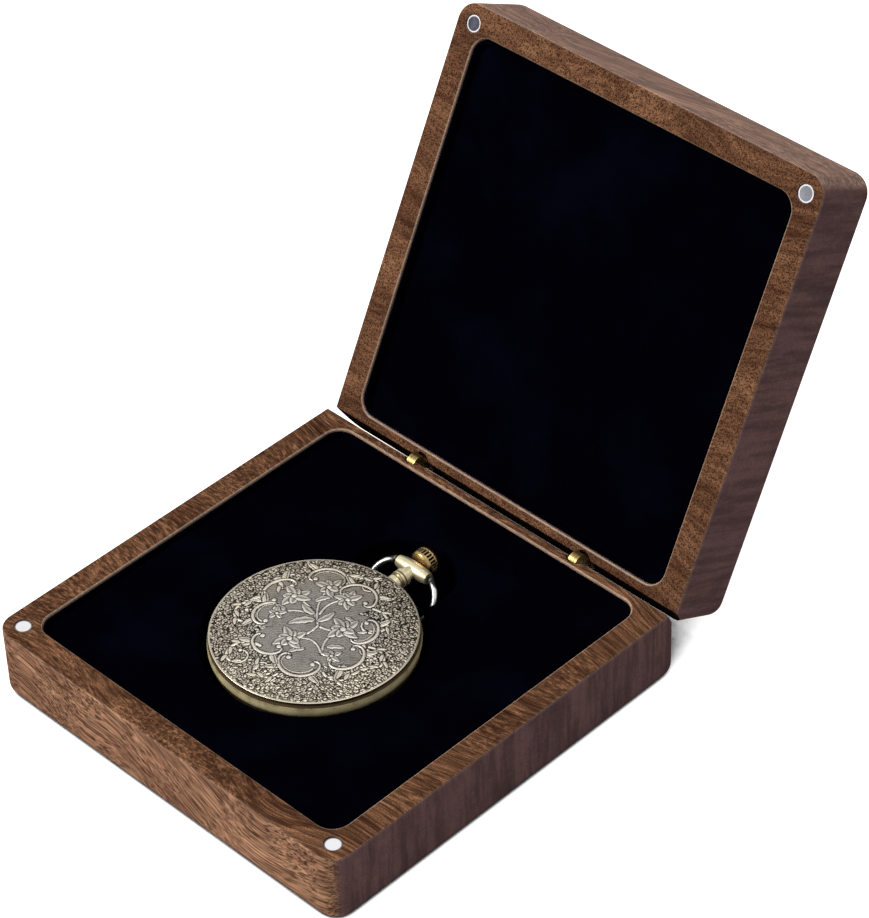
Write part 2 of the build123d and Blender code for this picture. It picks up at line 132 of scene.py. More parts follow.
class MetalSettings(bpy.types.PropertyGroup):
    brass: tint("Hinge brass", "Colour of the turned hinge barrels", (0.72, 0.50, 0.20))
    steel: tint("Pin steel", "Colour of the hinge pins", (0.45, 0.42, 0.36))
    nickel: tint("Nickel", "Colour of the base magnets' plating", (0.86, 0.85, 0.87))
    grey_nickel: tint("Grey nickel", "Colour of the lid magnets' plating", (0.16, 0.165, 0.18))
    edge_nickel: tint("Nickel edge", "Colour of the lid magnets' edges", (0.40, 0.40, 0.42))
    # The left lid magnet's darker nickel is painted shade: a darker copy of the plating of the right one.
    shaded_nickel: tint("Shaded nickel", "Colour of the duller one of the lid's magnets", (0.035, 0.035, 0.052))
    silver: tint("Antique silver", "Colour of the raised engraving", (0.82, 0.77, 0.69))
    gilding: tint("Gilding", "Colour of the worn gilding towards the cover's rim", (0.84, 0.75, 0.60))
    patina: tint("Patina", "Colour of the dark hollows of the engraving", (0.012, 0.009, 0.006))
    band: tint("Antique brass", "Colour of the polished band of the watch", (1.0, 0.85, 0.47))
    brown: tint("Brown brass", "Colour of tarnished brass", (0.070, 0.042, 0.016))
    pendant: tint("Pendant", "Colour of the pale pendant", (0.62, 0.55, 0.36))
    crown: tint("Crown", "Colour of the winding crown", (0.36, 0.25, 0.115))
    neck_grooves: FloatVectorProperty(
        name="Neck grooves", description="Y of the grooves round the neck, in mm", size=2, default=(18.6, 20.0)
    )
    bow: tint("Bow", "Colour of the wire bow", (0.42, 0.42, 0.41))


class EngravingSettings(bpy.types.PropertyGroup):
    cells: IntProperty(name="Cells", description="Cells across the engraved cover", default=290, min=40, max=292)
    relief: size("Relief", "Height of the tallest scrolls over the ground", 0.16)
    field_radius: size("Field radius", "Radius of the engraved field", 23.1)
    turn: turned_by("Turn", "Turn of the design about the watch", 50)
    leaf_spacing: size("Foliage spacing", "Distance between the small curls round the edge", 1.02)


class StageSettings(bpy.types.PropertyGroup):
    azimuth: turned_by("Azimuth", "Camera's turn to the right", 45.841)
    elevation: turned_by("Elevation", "Camera's height", 39.960)
    roll: turned_by("Roll", "Camera's roll", -2.191)
    distance: size("Distance", "Camera's distance from what it looks at", 808.459, high=5000.0)
    target: FloatVectorProperty(
        name="Target", description="Point that the camera looks at, in mm", default=(3.199, 28.997, 47.953)
    )
    focal_pixels: FloatProperty(
        name="Focal length", description="Focal length in pixels of a picture 918 high", default=3668.14
    )
    daylight: share("Daylight", "Strength of the even light from all round", 0.55)
    key_power: FloatProperty(name="Key light", description="Power of the main soft light, in watts", default=16.0)
    fill_power: FloatProperty(name="Fill light", description="Power of the overhead soft light, in watts", default=3.5)
    floor_colour: tint("Floor", "Colour of the pale floor", (0.62, 0.62, 0.62))
    floor_glow: share("Floor glow", "Brightness that is added to the floor where it is seen", 0.85)
    shelter_reach: size("Shelter reach", "How far away things still shade the floor", 60.0, high=500.0)
    sheltered: share("Sheltered", "Share of the sky below which the floor is dark", 0.30)
    open_sky: share("Open sky", "Share of the sky above which the floor isn't shaded so", 0.46)


# Node trees


def connect(tree, socket, value):
    """Joins a socket to another node's output, or sets it to a plain value."""
    if isinstance(value, bpy.types.NodeSocket):
        tree.links.new(value, socket)
    else:
        socket.default_value = value


def put(tree, kind, inputs=None, **settings):
    """A new node with its settings and its inputs, given by socket name or number."""
    node = tree.nodes.new(kind)
    for name, value in settings.items():
        setattr(node, name, value)
    for key, value in (inputs or {}).items():
        connect(tree, node.inputs[key], value)
    return node


def calculate(tree, operation, *values, clamp=False):
    """The result of a Math node."""
    node = put(tree, "ShaderNodeMath", dict(enumerate(values)), operation=operation, use_clamp=clamp)
    return node.outputs[0]


def vector_math(tree, operation, *values):
    """The vector result of a Vector Math node."""
    return put(tree, "ShaderNodeVectorMath", dict(enumerate(values)), operation=operation).outputs[0]


def spread(tree, value, low, high, to_low=0.0, to_high=1.0):
    """A value moved smoothly from one range to another, and held at its ends."""
    inputs = {"Value": value, "From Min": low, "From Max": high, "To Min": to_low, "To Max": to_high}
    return put(tree, "ShaderNodeMapRange", inputs, interpolation_type="SMOOTHSTEP").outputs["Result"]


def blend(tree, factor, first, second, mode="MIX"):
    """Two colours mixed by a factor."""
    node = put(tree, "ShaderNodeMix", data_type="RGBA", blend_type=mode)
    for number, value in ((0, factor), (6, first), (7, second)):
        connect(tree, node.inputs[number], value)
    return node.outputs[2]


def noise(tree, vector, scale, detail=2.0, roughness=0.5):
    """A noise texture's node."""
    inputs = {"Vector": vector, "Scale": scale, "Detail": detail, "Roughness": roughness}
    return put(tree, "ShaderNodeTexNoise", inputs)


def scaled(tree, vector, x, y, z):
    """A vector with each of its parts multiplied."""
    return vector_math(tree, "MULTIPLY", vector, (x, y, z))


def new_group(name, inputs, outputs):
    """A shader node group with named sockets, given by their kind, and its input and output nodes."""
    tree = bpy.data.node_groups.new(name, "ShaderNodeTree")
    for in_out, sockets in (("INPUT", inputs), ("OUTPUT", outputs)):
        for kind, labels in sockets.items():
            for label in labels:
                tree.interface.new_socket(label, in_out=in_out, socket_type=kind)
    return tree, tree.nodes.new("NodeGroupInput"), tree.nodes.new("NodeGroupOutput")


def place_group(tree, group, inputs):
    """A group placed in a tree with its own values."""
    node = tree.nodes.new("ShaderNodeGroup")
    node.node_tree = group
    for key, value in inputs.items():
        connect(tree, node.inputs[key], value)
    return node


def rgba(colour):
    """A colour of three parts with full opacity."""
    return (*colour, 1.0)


COLOUR, NUMBER, VECTOR = "NodeSocketColor", "NodeSocketFloat", "NodeSocketVector"


def minus(tree, value, amount):
    """A value less another."""
    return calculate(tree, "SUBTRACT", value, amount)


def plus(tree, value, amount):
    """The sum of two values."""
    return calculate(tree, "ADD", value, amount)


def times(tree, value, amount):
    """The product of two values."""
    return calculate(tree, "MULTIPLY", value, amount)


def absolute(tree, value):
    """A value without its sign."""
    return calculate(tree, "ABSOLUTE", value)


def larger(tree, value, other):
    """The larger of two values."""
    return calculate(tree, "MAXIMUM", value, other)


def length_of(tree, x, y):
    """The length of a flat vector."""
    return calculate(tree, "SQRT", plus(tree, times(tree, x, x), times(tree, y, y)))


def parts_of(tree, vector):
    """The X, Y and Z of a vector, by their letters."""
    return put(tree, "ShaderNodeSeparateXYZ", {0: vector}).outputs


def in_mm(tree, place):
    """A place that is given in metres, in millimetres."""
    return scaled(tree, place, 1000, 1000, 1000)


def vector_of(tree, x, y, z):
    """A vector from three values."""
    return put(tree, "ShaderNodeCombineXYZ", {0: x, 1: y, 2: z}).outputs[0]


def outline_distance(tree, x, y, half, radius):
    """Signed distance to a square with rounded corners, below 0 inside it: with a = |x| - half + radius and
    b = |y| - half + radius, the length of the parts of (a, b) above 0, plus the larger of a and b held at 0
    or below, less the radius."""
    a = minus(tree, absolute(tree, x), half - radius)
    b = minus(tree, absolute(tree, y), half - radius)
    corner = length_of(tree, larger(tree, a, 0.0), larger(tree, b, 0.0))
    flat = calculate(tree, "MINIMUM", larger(tree, a, b), 0.0)
    return minus(tree, plus(tree, corner, flat), radius)


def walnut_figure():
    """The figure of walnut as a solid pattern, for a place and a normal in the closed box.

    The fibres run along X and dip as a sine of the way along, so that they run level at the ends of the
    box. Their cross position is bent by a slow noise, and every finer pattern is a noise of the position
    squeezed along the fibre: a face cut along them shows streaks, and a face cut across them specks. The
    rims are browner, with broader streaks on the base's. End grain is darker, with upright rays. A thin band
    at the rims' edges is paler, partly as wear and partly as a painted highlight. The faces that look forward
    in the closed box get a pale painted sheen, and the bevels along the back are painted nearly black, a
    painted shade."""
    name = "Walnut figure"
    if name in bpy.data.node_groups:
        return bpy.data.node_groups[name]
    inputs = {
        VECTOR: ("Vector", "Normal", "Shift"),
        NUMBER: ("Slope", "Speck", "Painted sheen"),
        COLOUR: ("Light", "Dark", "Rim light", "Rim dark", "End", "Pore", "Arris wear and highlight"),
    }
    outputs = {COLOUR: ("Colour",), NUMBER: ("Roughness", "Height")}
    tree, given, result = new_group(name, inputs, outputs)
    place = in_mm(tree, given.outputs["Vector"])
    box = parts_of(tree, place)
    facing = parts_of(tree, given.outputs["Normal"])
    moved = vector_math(tree, "ADD", place, given.outputs["Shift"])
    parts = parts_of(tree, moved)
    drift = put(tree, "ShaderNodeSeparateColor", {0: noise(tree, moved, 0.022, 1.0).outputs["Color"]})
    angle = times(tree, plus(tree, box["X"], 8.0), 1 / FIBRE_WAVE)
    dip = times(tree, times(tree, calculate(tree, "SINE", angle), FIBRE_WAVE), given.outputs["Slope"])
    across_y = plus(tree, parts["Y"], times(tree, minus(tree, drift.outputs[0], 0.5), 22.0))
    across_z = plus(tree, parts["Z"], dip)
    across_z = plus(tree, across_z, times(tree, minus(tree, drift.outputs[1], 0.5), 22.0))
    fibre = vector_of(tree, parts["X"], across_y, across_z)

    def squeezed(along, across, detail, roughness):
        return noise(tree, scaled(tree, fibre, along, across, across), 1.0, detail, roughness).outputs["Fac"]

    tone = squeezed(0.012, 0.11, 3.0, 0.6)
    band = squeezed(0.020, 0.55, 2.0, 0.6)
    thread = squeezed(0.045, 2.1, 3.0, 0.70)
    pore = squeezed(0.11, 3.2, 1.0, 0.5)
    streak = squeezed(0.05, 1.35, 2.0, 0.6)
    grain = noise(tree, moved, 3.3, 1.0, 0.6).outputs["Fac"]
    ray = noise(tree, scaled(tree, moved, 0.3, 0.45, 0.05), 1.0, 2.0, 0.6).outputs["Fac"]

    level = spread(tree, absolute(tree, facing["Z"]), 0.55, 0.85)
    from_rim = absolute(tree, minus(tree, box["Z"], RIM_Z))
    near = spread(tree, from_rim, 0.7, 0.9, 1.0, 0.0)
    rim = times(tree, level, near)
    end = spread(tree, absolute(tree, facing["X"]), 0.60, 0.95)
    lean = times(tree, facing["Y"], absolute(tree, facing["Z"]))
    beside = spread(tree, from_rim, 7.0, 8.0, 1.0, 0.0)
    # bevel marks the bevels along the back, which are painted nearly black below as painted shade
    bevel = times(tree, spread(tree, lean, 0.25, 0.40), beside)

    slow = times(tree, spread(tree, tone, 0.30, 0.70), 0.55)
    late = plus(tree, slow, times(tree, spread(tree, band, 0.35, 0.70), 0.45))
    side = blend(tree, late, given.outputs["Light"], given.outputs["Dark"])
    top = blend(tree, late, given.outputs["Rim light"], given.outputs["Rim dark"])
    wood = blend(tree, rim, side, top)
    wood = blend(tree, times(tree, end, 0.88), wood, given.outputs["End"])

    lines = spread(tree, thread, 0.34, 0.66, 1.60, 0.42)
    calm = spread(tree, thread, 0.30, 0.72, 1.12, 0.85)
    calm = times(tree, calm, plus(tree, 1.0, times(tree, end, spread(tree, ray, 0.32, 0.68, 0.16, -0.26))))
    specked = times(tree, rim, given.outputs["Speck"])
    soft = larger(tree, end, specked)
    shade = put(tree, "ShaderNodeMix", {0: soft, 2: lines, 3: calm}).outputs[0]
    bold = times(tree, rim, minus(tree, 1.0, given.outputs["Speck"]))
    bold = times(tree, bold, spread(tree, streak, 0.34, 0.62, 0.55, -0.75))
    shade = times(tree, shade, plus(tree, bold, 1.0))
    wood = blend(tree, 1.0, wood, vector_of(tree, shade, shade, shade), "MULTIPLY")
    dashes = times(tree, spread(tree, pore, 0.54, 0.64), plus(tree, times(tree, soft, -0.80), 1.0))
    often = calculate(tree, "POWER", given.outputs["Speck"], 0.5)
    dots = times(tree, times(tree, spread(tree, grain, 0.46, 0.64), often), rim)
    open_pore = larger(tree, times(tree, dashes, 0.75), dots)
    wood = blend(tree, open_pore, wood, given.outputs["Pore"])

    inner = outline_distance(tree, box["X"], box["Y"], RECESS_HALF, RECESS_CORNER)
    outer = outline_distance(tree, box["X"], box["Y"], BOX_HALF, BOX_CORNER)
    # The pale band along the inner and outer edges of the rims is partly wear and partly a painted highlight.
    rubbed_and_lit = times(tree, spread(tree, inner, 0.22, 0.42, 0.85, 0.0), near)
    edge = times(tree, spread(tree, outer, -0.42, -0.20, 0.0, 0.12), near)
    rubbed_and_lit = times(tree, larger(tree, rubbed_and_lit, edge), spread(tree, thread, 0.25, 0.60, 1.0, 0.5))
    wood = blend(tree, rubbed_and_lit, wood, given.outputs["Arris wear and highlight"])
    # Painted sheen: the faces that look forward in the closed box are tinted pale, for the grazing reflection along the
    # open lid's edge.
    front = spread(tree, facing["Y"], -0.75, -0.45, 1.0, 0.0)
    wood = blend(tree, times(tree, front, given.outputs["Painted sheen"]), wood, (0.46, 0.37, 0.36, 1))
    # Painted shade: the bevels along the back are painted nearly black, for the shade in the gap between the halves.
    wood = blend(tree, times(tree, bevel, 0.93), wood, (0.002, 0.001, 0.001, 1))
    connect(tree, result.inputs["Colour"], wood)
    connect(tree, result.inputs["Roughness"], plus(tree, times(tree, open_pore, 0.2), 0.60))
    connect(tree, result.inputs["Height"], minus(tree, times(tree, thread, 0.5), open_pore))
    return tree


def metal_wear():
    """Worn metal: a clean colour that fades to its tarnish by a mask and by cloudy noise, with fine grit. The
    mask is real polish in some pieces, and painted highlight and painted shade in others.
    """
    name = "Metal wear"
    if name in bpy.data.node_groups:
        return bpy.data.node_groups[name]
    inputs = {
        VECTOR: ("Vector",),
        COLOUR: ("Clean", "Tarnish"),
        NUMBER: ("Polish and painted light", "Cloud", "Grit", "Roughness"),
    }
    outputs = {COLOUR: ("Colour",), NUMBER: ("Roughness", "Height")}
    tree, given, result = new_group(name, inputs, outputs)
    place = in_mm(tree, given.outputs["Vector"])
    cloud = noise(tree, place, 0.30, 3.0, 0.55).outputs["Fac"]
    grit = noise(tree, place, 4.0, 2.0, 0.6).outputs["Fac"]
    faded = times(tree, spread(tree, cloud, 0.40, 0.70), given.outputs["Cloud"])
    specks = times(tree, minus(tree, grit, 0.5), times(tree, given.outputs["Grit"], 2.0))
    kept = calculate(tree, "ADD", minus(tree, given.outputs["Polish and painted light"], faded), specks, clamp=True)
    colour = blend(tree, kept, given.outputs["Tarnish"], given.outputs["Clean"])
    rough = times(tree, minus(tree, 1.0, kept), 0.25)
    connect(tree, result.inputs["Colour"], colour)
    connect(tree, result.inputs["Roughness"], plus(tree, rough, given.outputs["Roughness"]))
    connect(tree, result.inputs["Height"], grit)
    return tree


def velvet_pile():
    """Short pile: specks of single tufts over slow patches where the nap lies another way, tinted a little
    towards the sheen colour as a painted sheen.
    """
    name = "Velvet pile"
    if name in bpy.data.node_groups:
        return bpy.data.node_groups[name]
    inputs = {VECTOR: ("Vector",), COLOUR: ("Colour", "Nap sheen")}
    tree, given, result = new_group(name, inputs, {COLOUR: ("Colour",), NUMBER: ("Height",)})
    place = in_mm(tree, given.outputs["Vector"])
    tuft = noise(tree, place, 5.5, 2.0, 0.6).outputs["Fac"]
    nap = noise(tree, place, 0.05, 3.0, 0.6).outputs["Fac"]
    patch = times(tree, spread(tree, nap, 0.45, 0.75), 0.006)
    colour = blend(tree, patch, given.outputs["Colour"], given.outputs["Nap sheen"])
    connect(tree, result.inputs["Colour"], colour)
    connect(tree, result.inputs["Height"], plus(tree, tuft, times(tree, nap, 0.5)))
    return tree


# Materials


def new_material(name, **constants):
    """A material with its node tree and its Principled BSDF, whose plain values are set on its sockets."""
    material = bpy.data.materials.new(name)
    material.use_nodes = True
    shader = material.node_tree.nodes["Principled BSDF"]
    for label, value in constants.items():
        shader.inputs[label.replace("_", " ").title().replace("Ior", "IOR")].default_value = value
    return material, material.node_tree, shader


def add_bump(tree, shader, height, depth_mm):
    """Feeds a height into the shader's normal, with its depth in millimetres."""
    inputs = {"Height": height, "Distance": depth_mm * MM, "Strength": 1.0}
    tree.links.new(put(tree, "ShaderNodeBump", inputs).outputs["Normal"], shader.inputs["Normal"])


def object_place(tree):
    """The object coordinates of a piece that stays as it lies at rest."""
    return tree.nodes.new("ShaderNodeTexCoord").outputs["Object"]


def closed_place(tree, half):
    """The place and the normal of a point of the base or the lid, both as they are in the closed box."""
    source = tree.nodes.new("ShaderNodeTexCoord")
    if half == "base":
        return source.outputs["Object"], source.outputs["Normal"]
    hinge = Vector(HINGE) * MM
    shut = Matrix.Rotation(LID_ANGLE, 3, "X")
    inputs = {"Vector": source.outputs["Object"], "Location": hinge - shut @ hinge, "Rotation": (LID_ANGLE, 0, 0)}
    place = put(tree, "ShaderNodeMapping", inputs).outputs["Vector"]
    inputs = {"Vector": source.outputs["Normal"], "Rotation": (LID_ANGLE, 0, 0)}
    return place, put(tree, "ShaderNodeMapping", inputs, vector_type="NORMAL").outputs["Vector"]


def rest_parts(tree):
    """The X, Y and Z in millimetres of a point of a piece that stays as it lies at rest."""
    return parts_of(tree, in_mm(tree, object_place(tree)))


def band_painted_light(tree):
    """A mask of painted light on the band: high over its belly, a painted highlight, and falling to 0
    towards its lower side and on its flat top under the cover's edge, a painted shade.
    """
    height = minus(tree, rest_parts(tree)["Z"], WATCH_CENTRE[2])
    belly = times(tree, spread(tree, height, -1.5, -0.5), spread(tree, height, 0.0, 1.2, 1.0, 0.55))
    return times(tree, belly, spread(tree, height, 1.22, 1.34, 1.0, 0.0))


def pivot_fade(tree):
    """A mask that falls to 0 near the axis on which the bow swings."""
    parts = rest_parts(tree)
    away = length_of(tree, minus(tree, parts["Y"], BOW_PIVOT[1]), minus(tree, parts["Z"], BOW_PIVOT[2]))
    return spread(tree, away, 0.7, 1.3)


def gilt_rim(tree):
    """The cover's clean colour: silver in the middle that turns to worn gilding towards the rim."""
    s = bpy.context.scene.box_metal
    parts = rest_parts(tree)
    away = length_of(tree, minus(tree, parts["X"], WATCH_CENTRE[0]), minus(tree, parts["Y"], WATCH_CENTRE[1]))
    return blend(tree, spread(tree, away, 10.0, 21.0), rgba(s.silver), rgba(s.gilding))


def grooves(tree, places, half_width):
    """A mask of painted shade that falls to 0 in grooves across Y at the given places, in millimetres."""
    along = rest_parts(tree)["Y"]
    mask = 1.0
    for place in places:
        away = absolute(tree, minus(tree, along, place))
        mask = times(tree, spread(tree, away, half_width * 0.5, half_width), mask)
    return mask


def disc_mask(half, x, y, low, high):
    """What makes a mask round a pair of upright axes of the base or the lid, at x, y and -x, y in the closed
    box: 1 up to the lower distance from either and 0 beyond the higher, in millimetres."""

    def mask(tree):
        parts = parts_of(tree, in_mm(tree, closed_place(tree, half)[0]))
        away = length_of(tree, minus(tree, absolute(tree, parts["X"]), x), minus(tree, parts["Y"], y))
        return minus(tree, 1.0, spread(tree, away, low, high))

    return mask


def finish(tree, shader, group, depth_mm):
    """Joins a group to the shader: its colour, its roughness if it has one, and its height as bump."""
    tree.links.new(group.outputs["Colour"], shader.inputs["Base Color"])
    if "Roughness" in group.outputs:
        tree.links.new(group.outputs["Roughness"], shader.inputs["Roughness"])
    add_bump(tree, shader, group.outputs["Height"], depth_mm)


def walnut_material(name, half, slope, speck, painted_sheen, shift):
    """Oiled walnut for one half of the box."""
    s = bpy.context.scene.box_walnut
    material, tree, shader = new_material(name, specular_ior_level=0.0)
    place, normal = closed_place(tree, half)
    inputs = {"Vector": place, "Normal": normal, "Shift": shift, "Slope": slope, "Speck": speck, "Painted sheen": painted_sheen}
    colours = {"Light": s.light, "Dark": s.dark, "Rim light": s.rim_light, "Rim dark": s.rim_dark}
    colours |= {"End": s.end, "Pore": s.pore, "Arris wear and highlight": s.arris_wear_and_highlight}
    inputs |= {label: rgba(colour) for label, colour in colours.items()}
    figure = place_group(tree, walnut_figure(), inputs)
    finish(tree, shader, figure, s.pore_depth)
    return material


def metal_material(name, clean, tarnish, roughness, cloud=0.3, grit=0.1, polish=1.0, bump=0.004, metallic=1.0):
    """A worn metal. Its polish is a number, the name of an attribute that the piece carries, or a function
    that makes a mask in the material's tree. Its clean colour may be such a function too."""
    material, tree, shader = new_material(name, metallic=metallic)
    if isinstance(polish, str):
        polish = put(tree, "ShaderNodeAttribute", attribute_name=polish).outputs["Fac"]
    elif callable(polish):
        polish = polish(tree)
    colours = {"Clean": clean(tree) if callable(clean) else rgba(clean), "Tarnish": rgba(tarnish)}
    numbers = {"Polish and painted light": polish, "Cloud": cloud, "Grit": grit, "Roughness": roughness}
    wear = place_group(tree, metal_wear(), {"Vector": object_place(tree), **numbers, **colours})
    finish(tree, shader, wear, bump)
    return material


PILE_DEPTH = 0.08  # of the velvet's tufts, in millimetres


def velvet_material():
    """Near-black velvet with a faint blue sheen."""
    s = bpy.context.scene.box_velvet
    material, tree, shader = new_material(
        "Black velvet", roughness=1.0, sheen_weight=0.005, sheen_roughness=0.4, specular_ior_level=0.0
    )
    shader.inputs["Sheen Tint"].default_value = rgba(s.sheen)
    colours = {"Colour": rgba(s.colour), "Nap sheen": rgba(s.sheen)}
    pile = place_group(tree, velvet_pile(), {"Vector": object_place(tree), **colours})
    finish(tree, shader, pile, PILE_DEPTH)
    return material


def dress(material, *names):
    """Gives nodes of the frame their finish."""
    for name in names:
        mesh_object = frame["nodes"][name]
        if not mesh_object.material_slots:
            mesh_object.data.materials.append(material)
        for slot in mesh_object.material_slots:
            slot.material = material


# Meshes


def grid_faces(rows, columns, around=False):
    """Corner numbers of the quads of a grid of points, closed round its columns if asked."""
    row = np.arange(rows - 1)[:, None]
    column = np.arange(columns if around else columns - 1)[None, :]
    after = (column + 1) % columns
    corners = (row * columns + column, row * columns + after, (row + 1) * columns + after, (row + 1) * columns + column)
    return np.stack([c.ravel() for c in corners], axis=1)


def make_piece(name, points, faces, material, body, masks=None):
    """A smooth piece from points in millimetres, its doubled points merged and its faces turned outwards."""
    mesh = bpy.data.meshes.new(name)
    mesh.from_pydata((points * MM).tolist(), [], faces.tolist())
    for label, values in (masks or {}).items():
        attribute = mesh.attributes.new(label, "FLOAT", "POINT")
        attribute.data.foreach_set("value", np.asarray(values, dtype=np.float32))
    shell = bmesh.new()
    shell.from_mesh(mesh)
    bmesh.ops.remove_doubles(shell, verts=shell.verts, dist=1e-7)
    bmesh.ops.dissolve_degenerate(shell, edges=shell.edges, dist=1e-8)
    bmesh.ops.recalc_face_normals(shell, faces=shell.faces)
    shell.to_mesh(mesh)
    shell.free()
    mesh.shade_smooth()
    mesh.materials.append(material)
    piece = bpy.data.objects.new(name, mesh)
    bpy.context.scene.collection.objects.link(piece)
    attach(piece, body)
    return piece


def opened(points):
    """Points of the closed lid, turned about the hinge axle to where it rests open."""
    turned = points - HINGE
    c, s = math.cos(-LID_ANGLE), math.sin(-LID_ANGLE)
    y = turned[..., 1] * c - turned[..., 2] * s
    z = turned[..., 1] * s + turned[..., 2] * c
    return np.stack([turned[..., 0], y, z], axis=-1) + HINGE


def smooth_step(value, low, high):
    """0 below the range, 1 above it, and a smooth curve between."""
    t = np.clip((value - low) / (high - low), 0.0, 1.0)
    return t * t * (3 - 2 * t)


def ripple(x, y):
    """Soft waves of a stretched fabric: a sum of a few long sines of both directions, between -1 and 1."""
    waves = np.sin(0.11 * x + 0.7) * np.sin(0.09 * y + 1.9) + 0.6 * np.sin(0.17 * x - 0.13 * y + 4.0)
    return (waves + 0.4 * np.sin(0.05 * x + 0.23 * y)) / 2.0


# Velvet pads


def square_edge(centre, directions, half, radius):
    """Where rays from a point meet a square with rounded corners.

    The signed distance to the square is |max(|p| - half + radius, 0)| - radius, and each ray's length
    is found by halving its bracket."""
    low = np.zeros(len(directions))
    high = np.full(len(directions), 3.0 * half)
    for _ in range(44):
        middle = (low + high) / 2
        p = np.abs(centre + directions * middle[:, None])
        over = np.linalg.norm(np.maximum(p - (half - radius), 0.0), axis=1)
        outside = (over > radius) | (p.max(axis=1) > half)
        high = np.where(outside, middle, high)
        low = np.where(outside, low, middle)
    return centre + directions * low[:, None]


def even_angles(radius_of, count):
    """Angles that divide a closed outline, given as a radius for each angle, into equal lengths."""
    angle = np.linspace(0, 2 * math.pi, 20001)
    radius = radius_of(angle)
    x, y = radius * np.cos(angle), radius * np.sin(angle)
    length = np.concatenate([[0], np.cumsum(np.hypot(np.diff(x), np.diff(y)))])
    return np.interp(np.arange(count) / count * length[-1], length, angle)


def stack_rows(rows, heights):
    """Points from rows of plan positions and their heights, as one array of rows."""
    return np.stack([np.column_stack([plan, height]) for plan, height in zip(rows, heights)])


def lined_border(s, thickness, pad_face, lining_top, bottom):
    """Insets from the pad's outline and heights of the rows from its face, over its lining, to under it.

    The fabric turns up in a quarter circle, stands up by its thickness, closes over a half circle and goes
    down the outside."""
    turn = np.linspace(0, math.pi / 2, 5)
    lip = np.linspace(0, math.pi, 9)
    foot, half = s.foot_round, thickness / 2
    insets = list(thickness + foot * (1 - np.sin(turn)))
    heights = list(pad_face + foot * (1 - np.cos(turn)))
    insets += list(half + half * np.cos(lip))
    heights += list(lining_top - half + half * np.sin(lip))
    for height in np.linspace(lining_top - half, bottom, 4)[1:]:
        insets.append(0.0)
        heights.append(height)
    return insets, heights


# In millimetres, and in the closed box:
FABRIC, PAD_CORNER = 0.8, 4.2  # thickness of the lining, and the pads' corner radius
BASE_PAD_FACE, LID_PAD_FACE, LID_LINING, LID_PAD_BACK = 17.3, 20.6, 18.8, 32.6  # heights
WELL_RADIUS, WELL_GAP = 25.4, 0.2  # the well, and its floor below the watch's back
NOTCH_RADIUS, NOTCH_END, BOW_GAP = 12.05, 3.35, 0.27  # the notch, its far end past the crown, its floor below the bow
HOLLOW_BLEND = 0.45


def lay_border(rows, heights, centre, direction, half, insets, levels):
    """Adds the rows of a pad's border, and three that close it on its back, towards its middle."""
    for inset, level in zip(insets, levels):
        rows.append(square_edge(centre, direction, half - inset, PAD_CORNER - inset))
        heights.append(np.full(len(direction), level))
    for share_in in (0.6, 0.25, 0.0):
        rows.append(centre + (rows[-1] - centre) * share_in)
        heights.append(heights[-1])


def base_pad_points(s, columns=720):
    """The base's pad: a velvet sheet that falls into a round well and a deeper notch, as rows of points.

    With d as the distance outside the two circles, blended by -k log(exp(-d1 / k) + exp(-d2 / k)), every
    row of the wall and of the rounded lip is a level of d along the same rays from the watch's middle."""
    low, high = node_box("base_velvet")
    half, bottom = high[0], low[2]
    lining_top, top = high[2], BASE_PAD_FACE
    bend = 0.4  # radius where the walls of the hollows meet their floors
    well_floor = node_box("watch_back_cover")[0][2] - WELL_GAP
    notch_floor = node_box("watch_bow")[0][2] - BOW_GAP
    centre = WATCH_CENTRE[:2]
    notch_centre = np.array([0.0, node_box("watch_crown")[1][1] + NOTCH_END - NOTCH_RADIUS])

    def depth(plan):
        well = np.hypot(*(plan - centre).T) - WELL_RADIUS
        notch = np.hypot(*(plan - notch_centre).T) - NOTCH_RADIUS
        return -HOLLOW_BLEND * np.logaddexp(-well / HOLLOW_BLEND, -notch / HOLLOW_BLEND)

    def level_radius(direction, level):
        near = np.full(len(direction), WELL_RADIUS - 3.0)
        far = np.full(len(direction), WELL_RADIUS + 18.0)
        for _ in range(40):
            middle = (near + far) / 2
            beyond = depth(centre + direction * middle[:, None]) > level
            near, far = np.where(beyond, near, middle), np.where(beyond, middle, far)
        return near

    def outline(angle):
        return level_radius(np.column_stack([np.cos(angle), np.sin(angle)]), 0.0)

    angle = even_angles(outline, columns)
    direction = np.column_stack([np.cos(angle), np.sin(angle)])

    def at_level(level):
        return centre + direction * level_radius(direction, level)[:, None]

    def floor_height(plan):
        reach = np.hypot(*(plan - notch_centre).T)
        step = smooth_step(reach, NOTCH_RADIUS - 0.6, NOTCH_RADIUS + 0.1)
        return notch_floor + (well_floor - notch_floor) * step

    rows, heights = [], []
    foot = at_level(-bend)
    for share_out in np.linspace(0, 1, 22):
        plan = centre + (foot - centre) * share_out
        rows.append(plan)
        heights.append(floor_height(plan))
    floor = floor_height(foot)
    for turn in np.linspace(0, math.pi / 2, 5)[1:]:
        rows.append(at_level(-bend * (1 - math.sin(turn))))
        heights.append(floor + bend * (1 - math.cos(turn)))
    wall = at_level(0.0)
    for share_up in np.linspace(0, 1, 6)[1:]:
        rows.append(wall)
        heights.append(floor + bend + (top - s.lip_round - floor - bend) * share_up)
    for turn in np.linspace(0, math.pi / 2, 9)[1:]:
        rows.append(at_level(s.lip_round * (1 - math.cos(turn))))
        heights.append(np.full(columns, top - s.lip_round * (1 - math.sin(turn))))
    start = rows[-1]
    insets, border_heights = lined_border(s, FABRIC, top, lining_top, bottom)
    end = square_edge(centre, direction, half - insets[0], PAD_CORNER - insets[0])
    for share_out in np.linspace(0, 1, 30)[1:-1]:
        plan = start + (end - start) * share_out
        swell = math.sin(math.pi * share_out) ** 2
        rows.append(plan)
        heights.append(top + swell * (s.crown * 0.4 + s.ripple * ripple(*plan.T)))
    lay_border(rows, heights, centre, direction, half, insets, border_heights)
    return stack_rows(rows, heights)


